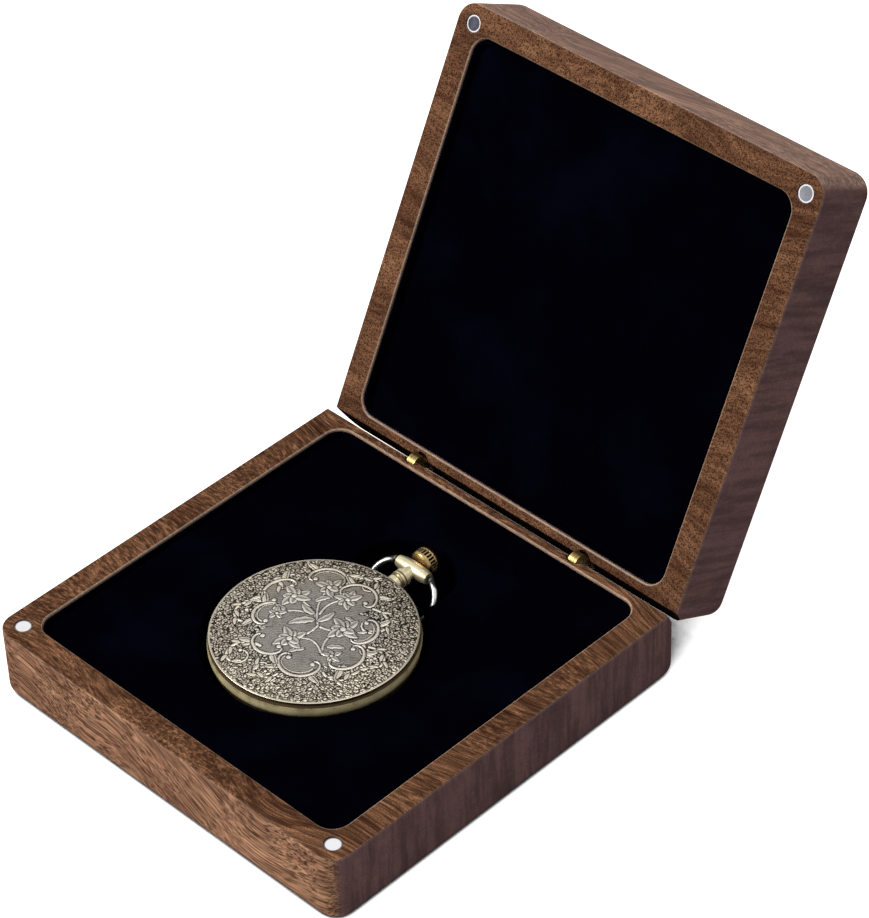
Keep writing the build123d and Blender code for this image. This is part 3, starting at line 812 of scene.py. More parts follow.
def lid_pad_points(s, columns=560):
    """The lid's pad as it lies in the closed lid, then opened: a flat sheet with a slight swell and its lining.

    The rows run from the middle of the sheet to its border along rays, then up the lining and back."""
    half = node_box("base_velvet")[1][0]
    face, lining, back = LID_PAD_FACE, LID_LINING, LID_PAD_BACK
    centre = np.zeros(2)
    angle = even_angles(lambda a: half / np.maximum(np.abs(np.cos(a)), np.abs(np.sin(a))), columns)
    direction = np.column_stack([np.cos(angle), np.sin(angle)])
    insets, border_heights = lined_border(s, FABRIC, 0.0, face - lining, face - back)
    end = square_edge(centre, direction, half - insets[0], PAD_CORNER - insets[0])
    rows, heights = [], []
    for share_out in np.linspace(0, 1, 46)[:-1]:
        plan = end * share_out
        swell = np.clip(np.cos(plan / half * math.pi / 2), 0, 1).prod(axis=1) ** 0.5
        rows.append(plan)
        heights.append(swell * (s.crown + s.ripple * ripple(*plan.T)))
    lay_border(rows, heights, centre, direction, half, insets, border_heights)
    points = stack_rows(rows, heights)
    points[..., 2] = face - points[..., 2]
    return opened(points)


# Engraving


class Relief:
    """A height and a polish for each point of the engraved field, in which a later form covers earlier ones."""

    def __init__(self, x, y):
        self.x, self.y = x, y
        self.height = np.zeros_like(x)
        self.polish = np.zeros_like(x)

    def near(self, low, high, pad):
        """The points inside a box round a form."""
        inside = (self.x > low[0] - pad) & (self.x < high[0] + pad)
        inside &= (self.y > low[1] - pad) & (self.y < high[1] + pad)
        return np.flatnonzero(inside)

    def cut(self, where, q, gap, edge, height, polish, dark):
        """Puts a form where q is below 1, and a dark line round it as wide as the edge, where gap is below that."""
        line = (q >= 1) & (gap < edge)
        self.height[where[line]] = 0.0
        self.polish[where[line]] = dark
        form = q < 1
        self.height[where[form]] = height[form]
        self.polish[where[form]] = polish[form]

    def stroke(self, line, width, height, polish=0.95, edge=0.22, dark=0.03, vein=0.0, core=1.0):
        """A rounded ridge along a line: with q as the least distance over the half width, its height is
        (1 - q^2)^0.35. A vein is a groove along its middle, and a core below 1 greys what lies inside its edge."""
        where = self.near(line.min(axis=1), line.max(axis=1), width.max() + edge)
        if len(where) == 0:
            return
        away = np.hypot(self.x[where, None] - line[0][None, :], self.y[where, None] - line[1][None, :])
        q = (away / width[None, :]).min(axis=1)
        gap = (away - width[None, :]).min(axis=1)
        groove = vein * (1 - smooth_step(q, 0.06, 0.32))
        body = np.maximum(1 - q**2, 0) ** 0.35 * (1 - 0.5 * groove)
        inner = core + (1 - core) * smooth_step(q, 0.45, 0.75)
        self.cut(where, q, gap, edge, height * body, polish * inner * (1 - 0.75 * groove), dark)


def bent_line(start, heading, length, bend, curl=0.0, power=2.0, both_ends=False, count=46):
    """A line whose curvature is bend + curl * t^power, summed along its length from its start.

    With both_ends it is a C-scroll: the line runs both ways from its middle, and t is the distance from
    there over half the length."""
    t = np.linspace(-1 if both_ends else 0, 1, count)
    bent = bend + curl * np.abs(t) ** power
    step = length / (count - 1)
    angle = heading + np.concatenate([[0], np.cumsum((bent[1:] + bent[:-1]) / 2 * step)])
    if both_ends:
        angle += heading - np.interp(0, t, angle)
    x = np.concatenate([[0], np.cumsum(np.cos((angle[1:] + angle[:-1]) / 2) * step)])
    y = np.concatenate([[0], np.cumsum(np.sin((angle[1:] + angle[:-1]) / 2) * step)])
    if both_ends:
        x, y = x - np.interp(0, t, x), y - np.interp(0, t, y)
    return np.array([x + start[0], y + start[1]]), t


def draw_leaf(relief, base, heading, length, width, height, bend=0.0, lobes=0, **look):
    """A pointed leaf: its half width is a sine of the root of the distance along it, notched into lobes."""
    line, t = bent_line(base, heading, length, bend, count=int(24 + 10 * length))
    half = width * np.sin(math.pi * t**0.75) ** 0.9 + 0.05
    if lobes:
        half *= 0.66 + 0.34 * np.abs(np.sin(math.pi * lobes * t + 0.3))
    relief.stroke(line, half, height, **look)


def draw_foliage(relief, s, inside, rng):
    """Small curls, leaves and buds on a shaken hexagonal grid over all of the field outside the frame, each
    cut into the ones before it."""
    step, squeeze, shake = s.leaf_spacing, 0.87, 0.18
    rows = int(2 * s.field_radius / (step * squeeze)) + 2
    columns = int(2 * s.field_radius / step) + 2
    spots = [(row, column) for row in range(rows) for column in range(columns)]
    order = rng.permutation(len(spots))
    for number in order:
        row, column = spots[number]
        x = (column + 0.5 * (row % 2)) * step - s.field_radius + rng.normal(0, shake)
        y = row * step * squeeze - s.field_radius + rng.normal(0, shake)
        heading, side, kind = rng.uniform(0, 2 * math.pi), rng.choice((-1, 1)), rng.uniform()
        shine = rng.uniform(0.55, 1.0)
        if math.hypot(x, y) > s.field_radius + 0.1 or inside(np.array([x]), np.array([y]))[0] < -0.2:
            continue
        look = {"polish": shine, "edge": 0.19, "dark": 0.0}
        if kind < 0.62:
            line, t = bent_line((x, y), heading, 2.1, 0.9 * side, 3.8 * side, 1.3, count=22)
            relief.stroke(line, 0.170 - 0.040 * t, s.relief * 0.8, **look)
            draw_leaf(relief, (x, y), heading + 2.6 * side, 0.95, 0.21, s.relief * 0.7, 0.5 * side, **look)
        elif kind < 0.90:
            for turn in (-0.75, 0.0, 0.75):
                reach = 1.05 - 0.2 * abs(turn)
                draw_leaf(relief, (x, y), heading + turn, reach, 0.20, s.relief * 0.75, 0.3 * turn, **look)
        else:
            relief.stroke(np.array([[x], [y]]), np.array([0.27]), s.relief * 0.8, **look)


# The calm middle of the frame and its lobes, as the middle and the radius of each one's circle.
FIELD = ((0.6, 2.4), 9.6)
LOBES = [
    ((-5.4, 12.0), 5.2),
    ((3.8, 14.6), 5.0),
    ((9.8, 8.4), 4.9),
    ((9.6, -1.6), 4.6),
    ((5.6, -9.0), 4.8),
    ((-3.4, -9.6), 5.2),
    ((-9.4, -2.6), 4.4),
    ((-9.2, 5.8), 4.0),
]


def frame_distance(x, y):
    """How far outside the frame of lobes a point lies, below 0 inside it."""
    distance = np.hypot(x - FIELD[0][0], y - FIELD[0][1]) - FIELD[1]
    for (middle_x, middle_y), radius in LOBES:
        distance = np.minimum(distance, np.hypot(x - middle_x, y - middle_y) - radius)
    return distance


def draw_scroll(relief, middle, heading, length, bend, height):
    """A scroll with a volute and a round bead at both ends, widest in its middle."""
    width, bead, curl, power = 0.35, 1.5, 1.9, 5
    line, t = bent_line(middle, heading, length, bend, curl, power, both_ends=True, count=120)
    relief.stroke(line, width * (0.38 + 0.62 * (1 - t**2)), height, 0.72, 0.26)
    for end in (0, -1):
        relief.stroke(line[:, [end]], np.array([width * bead]), height, 0.75, 0.26)


def draw_spray(relief, line, places, reach, height, **look):
    """Leaves along a line, on one side and the other by turns."""
    for number, place in enumerate(places):
        toward = math.atan2(*(line[::-1, place + 1] - line[::-1, place]))
        turn = 0.85 if number % 2 == 0 else -0.85
        draw_leaf(relief, line[:, place], toward + turn, reach, reach * 0.15, height, -0.25 * turn, **look)


def draw_frame(relief, s):
    """The frame: a C-scroll round each lobe with unequal volutes, a second thin line inside every other one,
    sprays of long leaves outside them, and free spirals with leaves out in the foliage."""
    tall = s.relief
    middle = np.array(FIELD[0])
    leaf = {"edge": 0.24, "vein": 0.7, "polish": 0.85}
    spirals = [
        ((-11.2, 10.6), 2.75, 19.0, 0.20, 0.42, 0.34),
        ((-12.2, -4.0), 2.3, 20.0, 0.19, 0.42, 0.36),
        ((13.6, 4.6), -0.45, 20.0, -0.19, -0.42, 0.36),
        ((11.6, -7.6), -0.3, 17.0, -0.22, -0.50, 0.32),
        ((9.4, 14.0), 0.9, 15.0, -0.24, -0.50, 0.30),
        ((-3.2, 18.6), 3.0, 12.0, 0.28, 0.60, 0.26),
        ((1.0, -14.4), -1.3, 16.0, 0.24, 0.52, 0.30),
        ((-9.0, -13.4), -2.5, 14.0, -0.26, -0.55, 0.28),
    ]
    for start, heading, length, bend, curl, width in spirals:
        line, t = bent_line(start, heading, length, bend, curl, 1.6, count=110)
        relief.stroke(line, width * (1.0 - 0.5 * t), tall * 0.95, 0.85, 0.28)
        relief.stroke(line[:, [-1]], np.array([width * 1.2]), tall, 0.9, 0.22)
        draw_spray(relief, line, (12, 26, 40, 54, 68), 2.2, tall * 0.85, **leaf)
    for number, (lobe, radius) in enumerate(LOBES):
        lobe = np.array(lobe)
        outward = (lobe - middle) / np.linalg.norm(lobe - middle)
        a = math.atan2(outward[1], outward[0]) + 0.22 * (-1) ** number
        length = 2 * math.pi * radius * (0.54 + 0.06 * (number % 3))
        top = lobe + radius * np.array([math.cos(a), math.sin(a)])
        for side in (-1, 1):
            start = lobe + radius * np.array([math.cos(a + side * 0.75), math.sin(a + side * 0.75)])
            draw_leaf(relief, start, a + side * 1.45, 4.4, 0.50, tall * 0.9, -0.20 * side, 2, **leaf)
            draw_leaf(relief, start, a + side * 0.85, 3.2, 0.40, tall * 0.88, 0.16 * side, **leaf)
            draw_leaf(relief, start, a + side * 2.4, 2.2, 0.28, tall * 0.8, 0.35 * side, edge=0.24, polish=0.8)
        if number % 2:
            inner = top - 0.95 * outward
            line, t = bent_line(inner, a + math.pi / 2, 0.6 * length, 1.15 / radius, 0.9, 4.0, True, 80)
            relief.stroke(line, 0.15 - 0.04 * np.abs(t), tall * 0.8, 0.75, 0.16)
        draw_scroll(relief, top, a + math.pi / 2, length, 1 / radius, tall)


def draw_flower(relief, centre, radius, petals, turn, height, look):
    """An open flower: uneven pointed petals with a vein all round, and a ringed eye."""
    for number in range(petals):
        heading = turn + 2 * math.pi * number / petals + 0.16 * math.sin(2.4 * number)
        start = (centre[0] + 0.3 * math.cos(heading), centre[1] + 0.3 * math.sin(heading))
        reach = radius * (0.80 + 0.20 * math.cos(3.1 * number + turn))
        draw_leaf(relief, start, heading, reach, radius * 0.24, height, 0.10 * (-1) ** number, **look)
    eye = np.array([[centre[0]], [centre[1]]])
    relief.stroke(eye, np.array([radius * 0.17]), height, 0.80, 0.22, 0.05)


def draw_bouquet(relief, s):
    """The bouquet, low over the grey field: bowed stems that are halves of a sine from end to end, serrated
    leaves, and open flowers."""
    tall = s.relief * 0.95
    soft = {"edge": 0.24, "dark": 0.07, "vein": 0.8, "polish": 0.80, "core": 0.62}
    bright = {"edge": 0.22, "dark": 0.06, "polish": 0.80}
    root = (0.9, 0.6)
    stems = [
        (root, (-3.6, 11.2), 1.3),
        (root, (4.4, 13.2), -1.2),
        ((1.6, 4.4), (8.2, 8.4), -1.3),
        (root, (6.4, -1.2), 0.9),
        (root, (-5.6, -2.6), -0.9),
        ((-0.2, 4.6), (-7.8, 6.0), 1.0),
        ((6.4, -1.2), (1.0, -8.8), 1.5),
        ((1.0, -8.8), (-5.6, -2.6), 2.3),
    ]
    t = np.linspace(0, 1, 60)
    for start, end, bow in stems:
        start, along = np.array(start)[:, None], (np.array(end) - np.array(start))[:, None]
        across = np.array([along[1], -along[0]]) / np.linalg.norm(along)
        line = start + along * t + across * bow * np.sin(math.pi * t)
        relief.stroke(line, 0.25 - 0.05 * t, tall * 0.8, **bright)
    leaves = [
        ((0.2, 2.6), 2.85, 6.0, 1.05, 0.12, 4),
        ((0.4, 4.6), 2.45, 4.6, 0.80, -0.14, 3),
        ((1.0, 2.2), 0.2, 4.8, 0.85, 0.16, 3),
        ((1.0, 8.8), 0.6, 4.2, 0.70, -0.18, 3),
        ((-2.6, -6.4), 2.9, 3.8, 0.60, 0.22, 2),
        ((2.4, -6.6), 0.2, 4.0, 0.65, -0.20, 2),
        ((-6.0, 6.8), 2.0, 3.0, 0.50, 0.20, 2),
        ((7.2, 2.6), -0.6, 3.0, 0.50, -0.20, 2),
    ]
    for base, heading, length, width, bend, lobes in leaves:
        draw_leaf(relief, base, heading, length, width, tall * 0.8, bend, lobes, **soft)
    flowers = [
        ((-3.6, 11.2), 3.7, 7, 0.15),
        ((4.4, 13.2), 3.4, 6, 0.5),
        ((8.2, 8.4), 3.3, 7, 0.9),
        ((6.4, -1.2), 4.0, 8, 0.4),
        ((-5.6, -2.6), 3.8, 8, 0.2),
        ((-7.8, 6.0), 2.2, 5, 1.3),
        ((3.2, -9.4), 2.2, 5, 0.3),
    ]
    for centre, radius, petals, turn in flowers:
        draw_flower(relief, centre, radius, petals, turn, tall, soft)


def engrave(x, y, s):
    """Height in millimetres and polish from 0 to 1 of the cover at plan points about its middle."""
    c, n = math.cos(-s.turn), math.sin(-s.turn)
    relief = Relief(x * c - y * n, x * n + y * c)
    rng = np.random.default_rng(12)
    # worn is a painted highlight: it brightens the engraving towards the design's lower side, here and in the field's
    # scale below, for the brighter light on that side of the dome.
    worn = smooth_step(-relief.y, 4.0, 14.0)
    relief.polish += 0.25 * worn + np.abs(rng.normal(0, 0.05, len(x)))
    draw_foliage(relief, s, frame_distance, rng)
    outside = smooth_step(frame_distance(relief.x, relief.y), -0.15, 0.05)
    relief.height *= outside
    ground = 0.28 + 0.05 * np.sin(relief.y * 8.0 + 2.2 * np.sin(relief.x * 1.7)) + rng.normal(0, 0.05, len(x))
    relief.polish = relief.polish * outside * (0.76 + 0.24 * worn) + ground * (1 - outside)
    draw_frame(relief, s)
    draw_bouquet(relief, s)
    radius = np.hypot(x, y)
    field = 1 - smooth_step(radius, s.field_radius - 0.12, s.field_radius + 0.02)
    return relief.height * field, relief.polish * field + (1 - field) * 0.6


def cover_points(s):
    """The engraved cover: its field on a square grid bent to a disc, then rows round its rim and under it.

    A point (a, b) of the square has the radius of the larger of |a| and |b|, and its angle is a quarter
    turn times the smaller over the larger, so that the cells stay nearly equal."""
    low, high = node_box("watch_front_cover")
    centre = WATCH_CENTRE[:2]
    outer = (high[0] - low[0]) / 2
    flat_radius = outer - 0.35
    dome = 0.52
    top = high[2] - s.relief - 0.02
    edge_z = top - dome
    count = s.cells
    a, b = np.meshgrid(np.linspace(-1, 1, count), np.linspace(-1, 1, count))
    wide = np.abs(a) > np.abs(b)
    ratio = np.where(wide, b / np.where(a == 0, 1, a), a / np.where(b == 0, 1, b))
    radius = np.where(wide, a, b)
    angle = np.where(wide, math.pi / 4 * ratio, math.pi / 2 - math.pi / 4 * ratio)
    x = (radius * np.cos(angle) * flat_radius).ravel()
    y = (radius * np.sin(angle) * flat_radius).ravel()
    lift, polish = engrave(x, y, s)
    z = top - dome * (x**2 + y**2) / flat_radius**2 + lift
    points = np.column_stack([x, y, z])
    faces = grid_faces(count, count)

    side = np.arange(count - 1)
    ring = np.concatenate([side, side * count + count - 1, count * count - 1 - side, (count - 1 - side) * count])
    unit = points[ring, :2] / flat_radius
    bottom = low[2]
    # The third number of each rim row sets how clean the metal is: the rows under the edge are 0, a painted shade in
    # the groove below the cover's rim.
    rim = [
        (flat_radius + 0.10, edge_z - 0.01, 0.45),
        (flat_radius + 0.24, edge_z - 0.03, 0.60),
        (outer - 0.03, edge_z - 0.07, 0.75),
        (outer, edge_z - 0.11, 0.75),
        (outer - 0.04, edge_z - 0.15, 0.3),
        (outer - 0.34, edge_z - 0.18, 0.0),
        (outer - 0.45, bottom + 0.10, 0.0),
        (outer - 0.50, bottom, 0.0),
        (outer - 1.10, bottom, 0.1),
        (outer - 1.20, bottom + 0.2, 0.2),
        (outer * 0.5, edge_z - 0.2, 0.2),
        (0.0, edge_z - 0.1, 0.2),
    ]
    rows, masks, loops = [points], [polish], ring
    first = count * count
    for radius_out, height, shine in rim:
        rows.append(np.column_stack([unit * radius_out, np.full(len(ring), height)]))
        masks.append(np.full(len(ring), shine))
        row = first + np.arange(len(ring))
        faces = np.concatenate([faces, np.stack([loops, np.roll(loops, -1), np.roll(row, -1), row], axis=1)])
        loops = row
        first += len(ring)
    points = np.concatenate(rows)
    points[:, :2] += centre
    return points, faces, np.concatenate(masks)


# Crown


def crown_points(columns_per_slot=14, slots=24):
    """The winding crown turned about Y: a base that widens over a small round to the ridges, slots between
    them, and a round far end. The slots are a smooth step of the cosine of the angle times their count, cut
    from the ridges' length. The mask that it returns is dark in the slots, a painted shade."""
    low, high = node_box("watch_crown")
    length, ridge_radius, slot_depth = high[1] - low[1], 3.2, 0.45
    outline = np.array([(0.0, 2.70), (0.10, 2.90), (0.30, 3.05), (0.50, 3.10), (0.62, 3.17), (0.70, 3.20)])
    ridge = np.linspace(0.74, 2.46, 24)
    turn = np.linspace(0, math.pi / 2, 14)[1:]
    end = np.column_stack([2.50 + (length - 2.50) * np.sin(turn), 2.2 + 1.0 * np.cos(turn)])
    along = np.concatenate([outline[:, 0], ridge, end[:, 0]])
    radius = np.concatenate([outline[:, 1], np.full(len(ridge), ridge_radius), end[:, 1]])
    gate = smooth_step(along, 0.74, 0.90) * (1 - smooth_step(along, 2.26, 2.44))
    angle = np.arange(slots * columns_per_slot) / (slots * columns_per_slot) * 2 * math.pi
    slot = smooth_step(np.cos(angle * slots), -0.25, 0.15)
    # Painted shade: dark is 1 in the slots and on their walls, which go to the near-black tarnish colour, for the shade
    # inside them.
    dark = smooth_step(np.cos(angle * slots), -0.40, -0.10)
    r = radius[:, None] - slot_depth * gate[:, None] * slot[None, :]
    polish = 1 - gate[:, None] ** 0.5 * dark[None, :]
    y = np.broadcast_to(along[:, None], r.shape)
    points = np.stack([r * np.cos(angle), y, r * np.sin(angle)], axis=-1)
    middle = np.zeros((1, len(angle), 3))
    points = np.concatenate([middle, points, middle + np.array([0, length, 0])])
    points += np.array([0, low[1], CROWN_BASE[2]])
    polish = np.pad(polish, ((1, 1), (0, 0)), constant_values=1)
    return points, polish


# Operators


class BOX_OT_walnut(bpy.types.Operator):
    """Gives both halves of the box their walnut"""

    bl_idname = "box.walnut"
    bl_label = "Walnut halves"

    def execute(self, context):
        s = context.scene.box_walnut
        base = walnut_material("Walnut base", "base", s.base_slope, 0.35, 0.0, (31.0, 12.0, 0.0))
        lid = walnut_material("Walnut lid", "lid", s.lid_slope, 0.85, s.painted_sheen, (140.0, 52.0, 70.0))
        dress(base, "base_tray")
        dress(lid, "lid_shell")
        return {"FINISHED"}


class BOX_OT_pads(bpy.types.Operator):
    """Makes the velvet pads of the base and the lid over their foam"""

    bl_idname = "box.pads"
    bl_label = "Velvet pads"

    def execute(self, context):
        s = context.scene.box_velvet
        velvet = velvet_material()
        for name, points, body, node in (
            ("velvet_base_pad", base_pad_points(s), "base", "base_velvet"),
            ("velvet_lid_pad", lid_pad_points(s), "lid", "lid_velvet"),
        ):
            rows, columns = points.shape[:2]
            faces = grid_faces(rows, columns, around=True)
            pad = make_piece(name, points.reshape(-1, 3), faces, velvet, body)
            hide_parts(node)
        material, tree, shader = new_material("Foam", roughness=1.0)
        cells = put(tree, "ShaderNodeTexVoronoi", {"Vector": object_place(tree), "Scale": 1500.0})
        colour = blend(tree, cells.outputs["Distance"], (0.012, 0.012, 0.014, 1), (0.05, 0.05, 0.055, 1))
        tree.links.new(colour, shader.inputs["Base Color"])
        dress(material, "base_pad_core", "lid_pad_core")
        return {"FINISHED"}


class BOX_OT_hinges(bpy.types.Operator):
    """Gives the barrel hinges their brass and their steel pins"""

    bl_idname = "box.hinges"
    bl_label = "Barrel hinges"

    def execute(self, context):
        s = context.scene.box_metal
        steel = metal_material("Pin steel", s.steel, (0.12, 0.11, 0.10), 0.25)
        dull = metal_material("Dull brass", (0.34, 0.24, 0.09), s.brown, 0.35, cloud=0.5)
        for half in ("base", "lid"):
            # Painted shade: beyond 1.75 mm from its axis each barrel goes to near-black brass, for the shade of the
            # hole in the rims round it.
            mask = disc_mask(half, *HINGE_PLACE, 1.75, 2.15)
            barrel = metal_material(f"Barrel brass {half}", s.brass, (0.035, 0.018, 0.008), 0.26, 0.4, polish=mask)
            dress(barrel, f"{half}_barrel_left", f"{half}_barrel_right")
        for side in ("left", "right"):
            dress(dull, f"base_leaves_{side}", f"lid_leaf_{side}")
            dress(steel, f"hinge_axle_{side}", f"base_barrel_pin_{side}", f"lid_barrel_pin_{side}")
        return {"FINISHED"}


class BOX_OT_magnets(bpy.types.Operator):
    """Gives the closing magnets their nickel plating"""

    bl_idname = "box.magnets"
    bl_label = "Magnets"

    def execute(self, context):
        s = context.scene.box_metal
        # The ring round each magnet's face is painted: a dark grey painted shade round the white base magnets, a paler
        # painted highlight round the lid's. The left lid magnet's face is a darker painted-shade copy of the right
        # one's.
        for half, side, face, ring in (
            ("base", "left", s.nickel, s.grey_nickel),
            ("base", "right", s.nickel, s.grey_nickel),
            ("lid", "left", s.shaded_nickel, s.edge_nickel),
            ("lid", "right", s.grey_nickel, s.edge_nickel),
        ):
            mask = disc_mask(half, *MAGNET_PLACE, 1.62, 1.78)
            nickel = metal_material(f"Nickel plating {half} {side}", face, ring, 0.25, 0.12, polish=mask)
            dress(nickel, f"{half}_magnet_{side}")
        return {"FINISHED"}


class BOX_OT_cover(bpy.types.Operator):
    """Engraves the front cover of the watch with scrolls, flowers and foliage"""

    bl_idname = "box.cover"
    bl_label = "Engraved cover"

    def execute(self, context):
        s = context.scene.box_metal
        points, faces, polish = cover_points(context.scene.box_engraving)
        silver = metal_material("Antique silver", gilt_rim, s.patina, 0.30, 0.06, 0.2, polish="polish", bump=0.02)
        cover = make_piece("engraved_cover", points, faces, silver, "base", {"polish": polish})
        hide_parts("watch_front_cover")
        return {"FINISHED"}


class BOX_OT_watch(bpy.types.Operator):
    """Finishes the band, the back and the inside of the watch"""

    bl_idname = "box.watch"
    bl_label = "Watch case"

    def execute(self, context):
        s = context.scene.box_metal
        # The band's mask is painted light: a painted highlight across its belly and painted shade on its lower side and
        # under the cover's edge.
        band = metal_material("Antique brass", s.band, s.brown, 0.26, 0.35, 0.2, band_painted_light, metallic=0.5)
        dress(band, "watch_case_middle", "watch_back_cover", "watch_bezel")
        gilt = metal_material("Gilt movement", (0.80, 0.62, 0.30), (0.30, 0.18, 0.06), 0.28)
        dress(gilt, "watch_movement")
        enamel = metal_material("Dial enamel", (0.88, 0.87, 0.83), (0.72, 0.70, 0.64), 0.25, metallic=0.0)
        dress(enamel, "watch_dial")
        blued = metal_material("Blued steel", (0.05, 0.07, 0.22), (0.02, 0.02, 0.05), 0.18)
        dress(blued, "watch_hour_hand", "watch_minute_hand")
        material, tree, shader = new_material("Watch glass", transmission_weight=1.0, ior=1.5)
        smear = noise(tree, object_place(tree), 300.0, 3.0).outputs["Fac"]
        tree.links.new(spread(tree, smear, 0.4, 0.8, 0.02, 0.12), shader.inputs["Roughness"])
        dress(material, "watch_crystal")
        return {"FINISHED"}


class BOX_OT_crown(bpy.types.Operator):
    """Makes the ridged winding crown and finishes the pendant, the stem and the bow"""

    bl_idname = "box.crown"
    bl_label = "Crown, pendant and bow"

    def execute(self, context):
        s = context.scene.box_metal
        # The near-black tarnish of the crown is the painted shade in its slots.
        gold = metal_material("Crown gold", s.crown, (0.002, 0.001, 0.001), 0.24, cloud=0.25, polish="polish")
        points, polish = crown_points()
        rows, columns = points.shape[:2]
        faces = grid_faces(rows, columns, around=True)
        crown = make_piece(
            "ridged_crown", points.reshape(-1, 3), faces, gold, "crown", {"polish": polish.ravel()}
        )
        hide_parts("watch_crown")
        # Painted shade: the pendant darkens in bands round its neck, for the shade in the grooves between its beads.
        mask = lambda tree: grooves(tree, s.neck_grooves, 0.28)
        pale = metal_material("Pale gold", s.pendant, (0.12, 0.08, 0.03), 0.34, 0.45, 0.15, mask, metallic=0.75)
        dress(pale, "watch_pendant")
        wire = metal_material("Bow steel", s.bow, (0.02, 0.02, 0.02), 0.30, 0.15, 0.1, pivot_fade)
        dress(wire, "watch_bow", "watch_stem")
        return {"FINISHED"}


class BOX_OT_stage(bpy.types.Operator):
    """Makes the pale floor, the soft lights and the camera"""

    bl_idname = "box.stage"
    bl_label = "Stage"

    def execute(self, context):
        s = context.scene.box_stage
        context.scene.view_settings.view_transform = "Standard"
        make_floor(s)
        make_world(s)
        target = Vector((0.0, 20.0, 30.0)) * MM
        add_light("Key light", s.key_power, 0.60, Vector((-0.55, -0.75, 0.80)), target)
        add_light("Fill light", s.fill_power, 0.90, Vector((0.30, 0.20, 1.10)), target)
        add_camera(s)
        return {"FINISHED"}


def seen_by_camera(tree):
    """1 where a surface is seen straight, in a mirror or through glass, and 0 where it only lights others."""
    path = tree.nodes.new("ShaderNodeLightPath")
    seen = larger(tree, path.outputs["Is Camera Ray"], path.outputs["Is Glossy Ray"])
    return larger(tree, seen, path.outputs["Is Transmission Ray"])


def make_floor(s):
    """A wide pale floor, bright enough to read as white where nothing shades it. Where the box and its lid
    shut out most of the sky above it, it is dark, by the share of the sky that each point sees."""
    half = 6.0  # of its side, in metres
    depth, left, mottle = 0.97, 0.03, 0.97  # of the shade, of the colour in it, and of the paler patches
    mesh = bpy.data.meshes.new("floor")
    corners = [(-half, -half, 0), (half, -half, 0), (half, half, 0), (-half, half, 0)]
    mesh.from_pydata(corners, [], [(0, 1, 2, 3)])
    material, tree, shader = new_material("Floor", roughness=1.0, specular_ior_level=0.0)
    cloud = noise(tree, object_place(tree), 2.0).outputs["Fac"]
    sky = put(tree, "ShaderNodeAmbientOcclusion", {"Distance": s.shelter_reach * MM}, samples=16).outputs["AO"]
    shade = spread(tree, sky, s.sheltered, s.open_sky, 1.0, 0.0)
    lit = minus(tree, 1.0, times(tree, shade, depth))
    dark = rgba([part * left for part in s.floor_colour])
    pale = blend(tree, cloud, rgba(s.floor_colour), rgba([part * mottle for part in s.floor_colour]))
    tree.links.new(blend(tree, lit, dark, pale), shader.inputs["Base Color"])
    strength = times(tree, times(tree, seen_by_camera(tree), lit), s.floor_glow)
    glow = put(tree, "ShaderNodeEmission", {"Color": (1, 1, 1, 1), "Strength": strength})
    both = put(tree, "ShaderNodeAddShader", {0: shader.outputs[0], 1: glow.outputs[0]})
    tree.links.new(both.outputs[0], tree.nodes["Material Output"].inputs["Surface"])
    mesh.materials.append(material)
    floor = bpy.data.objects.new("floor", mesh)
    bpy.context.scene.collection.objects.link(floor)


def make_world(s):
    """White surroundings where they are seen or mirrored, and a softer even light on everything else."""
    world = bpy.data.worlds.new("Studio")
    bpy.context.scene.world = world
    world.use_nodes = True
    tree = world.node_tree
    background = tree.nodes["Background"]
    background.inputs["Color"].default_value = (1, 1, 1, 1)
    strength = put(tree, "ShaderNodeMix", {0: seen_by_camera(tree), 2: s.daylight, 3: 1.0})
    tree.links.new(strength.outputs[0], background.inputs["Strength"])


def add_light(name, power, width, place, target):
    """A square soft light that faces the box."""
    data = bpy.data.lights.new(name, "AREA")
    data.energy = power
    data.shape = "SQUARE"
    data.size = width
    light = bpy.data.objects.new(name, data)
    light.location = place
    light.rotation_euler = (target - place).to_track_quat("-Z", "Y").to_euler()
    bpy.context.scene.collection.objects.link(light)


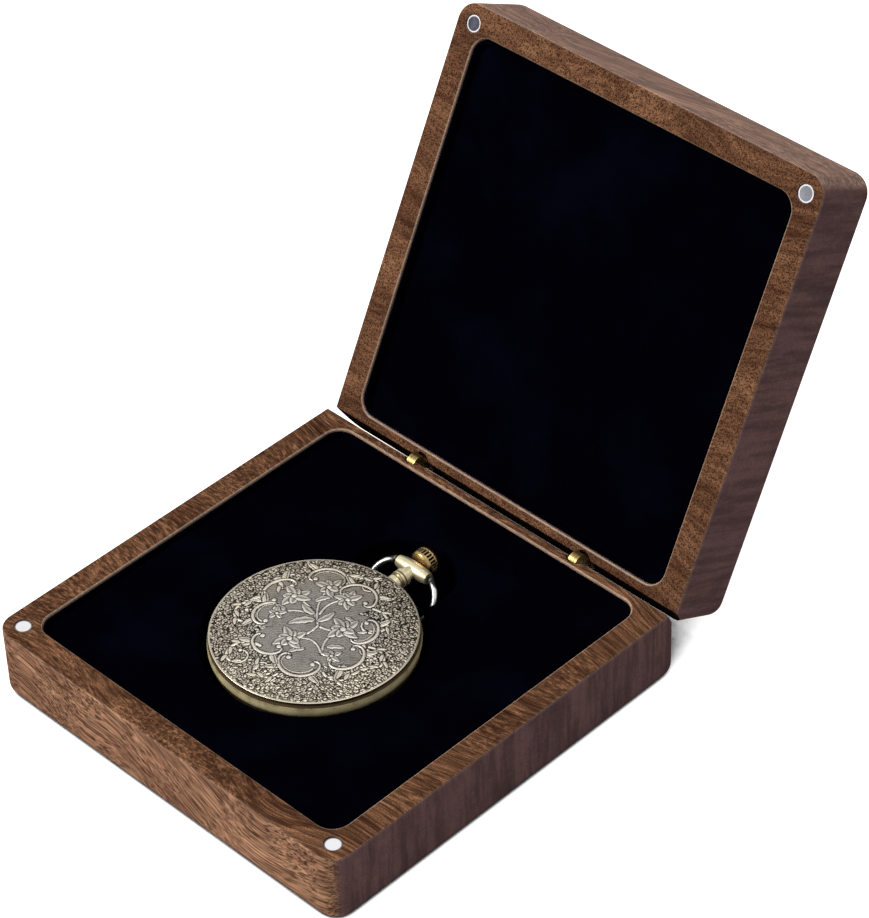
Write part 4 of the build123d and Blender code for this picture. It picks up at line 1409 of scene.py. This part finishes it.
def add_camera(s):
    """The camera, from its turn, height and roll about the point that it looks at."""
    picture_height = 918.0
    sensor = 36.0
    az, el = s.azimuth, s.elevation
    back = Vector((math.sin(az) * math.cos(el), -math.cos(az) * math.cos(el), math.sin(el)))
    right = Vector((0, 0, 1)).cross(back).normalized()
    up = back.cross(right)
    turned_right = right * math.cos(s.roll) + up * math.sin(s.roll)
    turned_up = up * math.cos(s.roll) - right * math.sin(s.roll)
    data = bpy.data.cameras.new("Camera")
    data.sensor_width = sensor
    data.lens = s.focal_pixels * sensor / picture_height
    data.clip_start = 0.05
    data.clip_end = 20.0
    camera = bpy.data.objects.new("Camera", data)
    basis = Matrix((turned_right, turned_up, back)).transposed().to_4x4()
    basis.translation = (Vector(s.target) + back * s.distance) * MM
    camera.matrix_world = basis
    bpy.context.scene.collection.objects.link(camera)
    bpy.context.scene.camera = camera


OPERATORS = (
    BOX_OT_walnut,
    BOX_OT_pads,
    BOX_OT_hinges,
    BOX_OT_magnets,
    BOX_OT_cover,
    BOX_OT_watch,
    BOX_OT_crown,
    BOX_OT_stage,
)
SETTINGS = {
    "box_walnut": WalnutSettings,
    "box_velvet": VelvetSettings,
    "box_metal": MetalSettings,
    "box_engraving": EngravingSettings,
    "box_stage": StageSettings,
}


class BOX_PT_panel(bpy.types.Panel):
    """Lists the pieces of the box and the stage"""

    bl_idname = "BOX_PT_panel"
    bl_label = "Display box"
    bl_space_type = "VIEW_3D"
    bl_region_type = "UI"
    bl_category = "Display box"

    def draw(self, context):
        for operator in OPERATORS:
            self.layout.operator(operator.bl_idname)


def register():
    for group in SETTINGS.values():
        bpy.utils.register_class(group)
    for name, group in SETTINGS.items():
        setattr(bpy.types.Scene, name, PointerProperty(type=group))
    for item in (*OPERATORS, BOX_PT_panel):
        bpy.utils.register_class(item)


def unregister():
    for item in (BOX_PT_panel, *reversed(OPERATORS)):
        bpy.utils.unregister_class(item)
    for name in SETTINGS:
        delattr(bpy.types.Scene, name)
    for group in reversed(list(SETTINGS.values())):
        bpy.utils.unregister_class(group)


def main():
    register()
    bpy.ops.box.walnut()
    bpy.ops.box.pads()
    bpy.ops.box.hinges()
    bpy.ops.box.magnets()
    bpy.ops.box.cover()
    bpy.ops.box.watch()
    bpy.ops.box.crown()
    bpy.ops.box.stage()


if __name__ == "__main__":
    main()
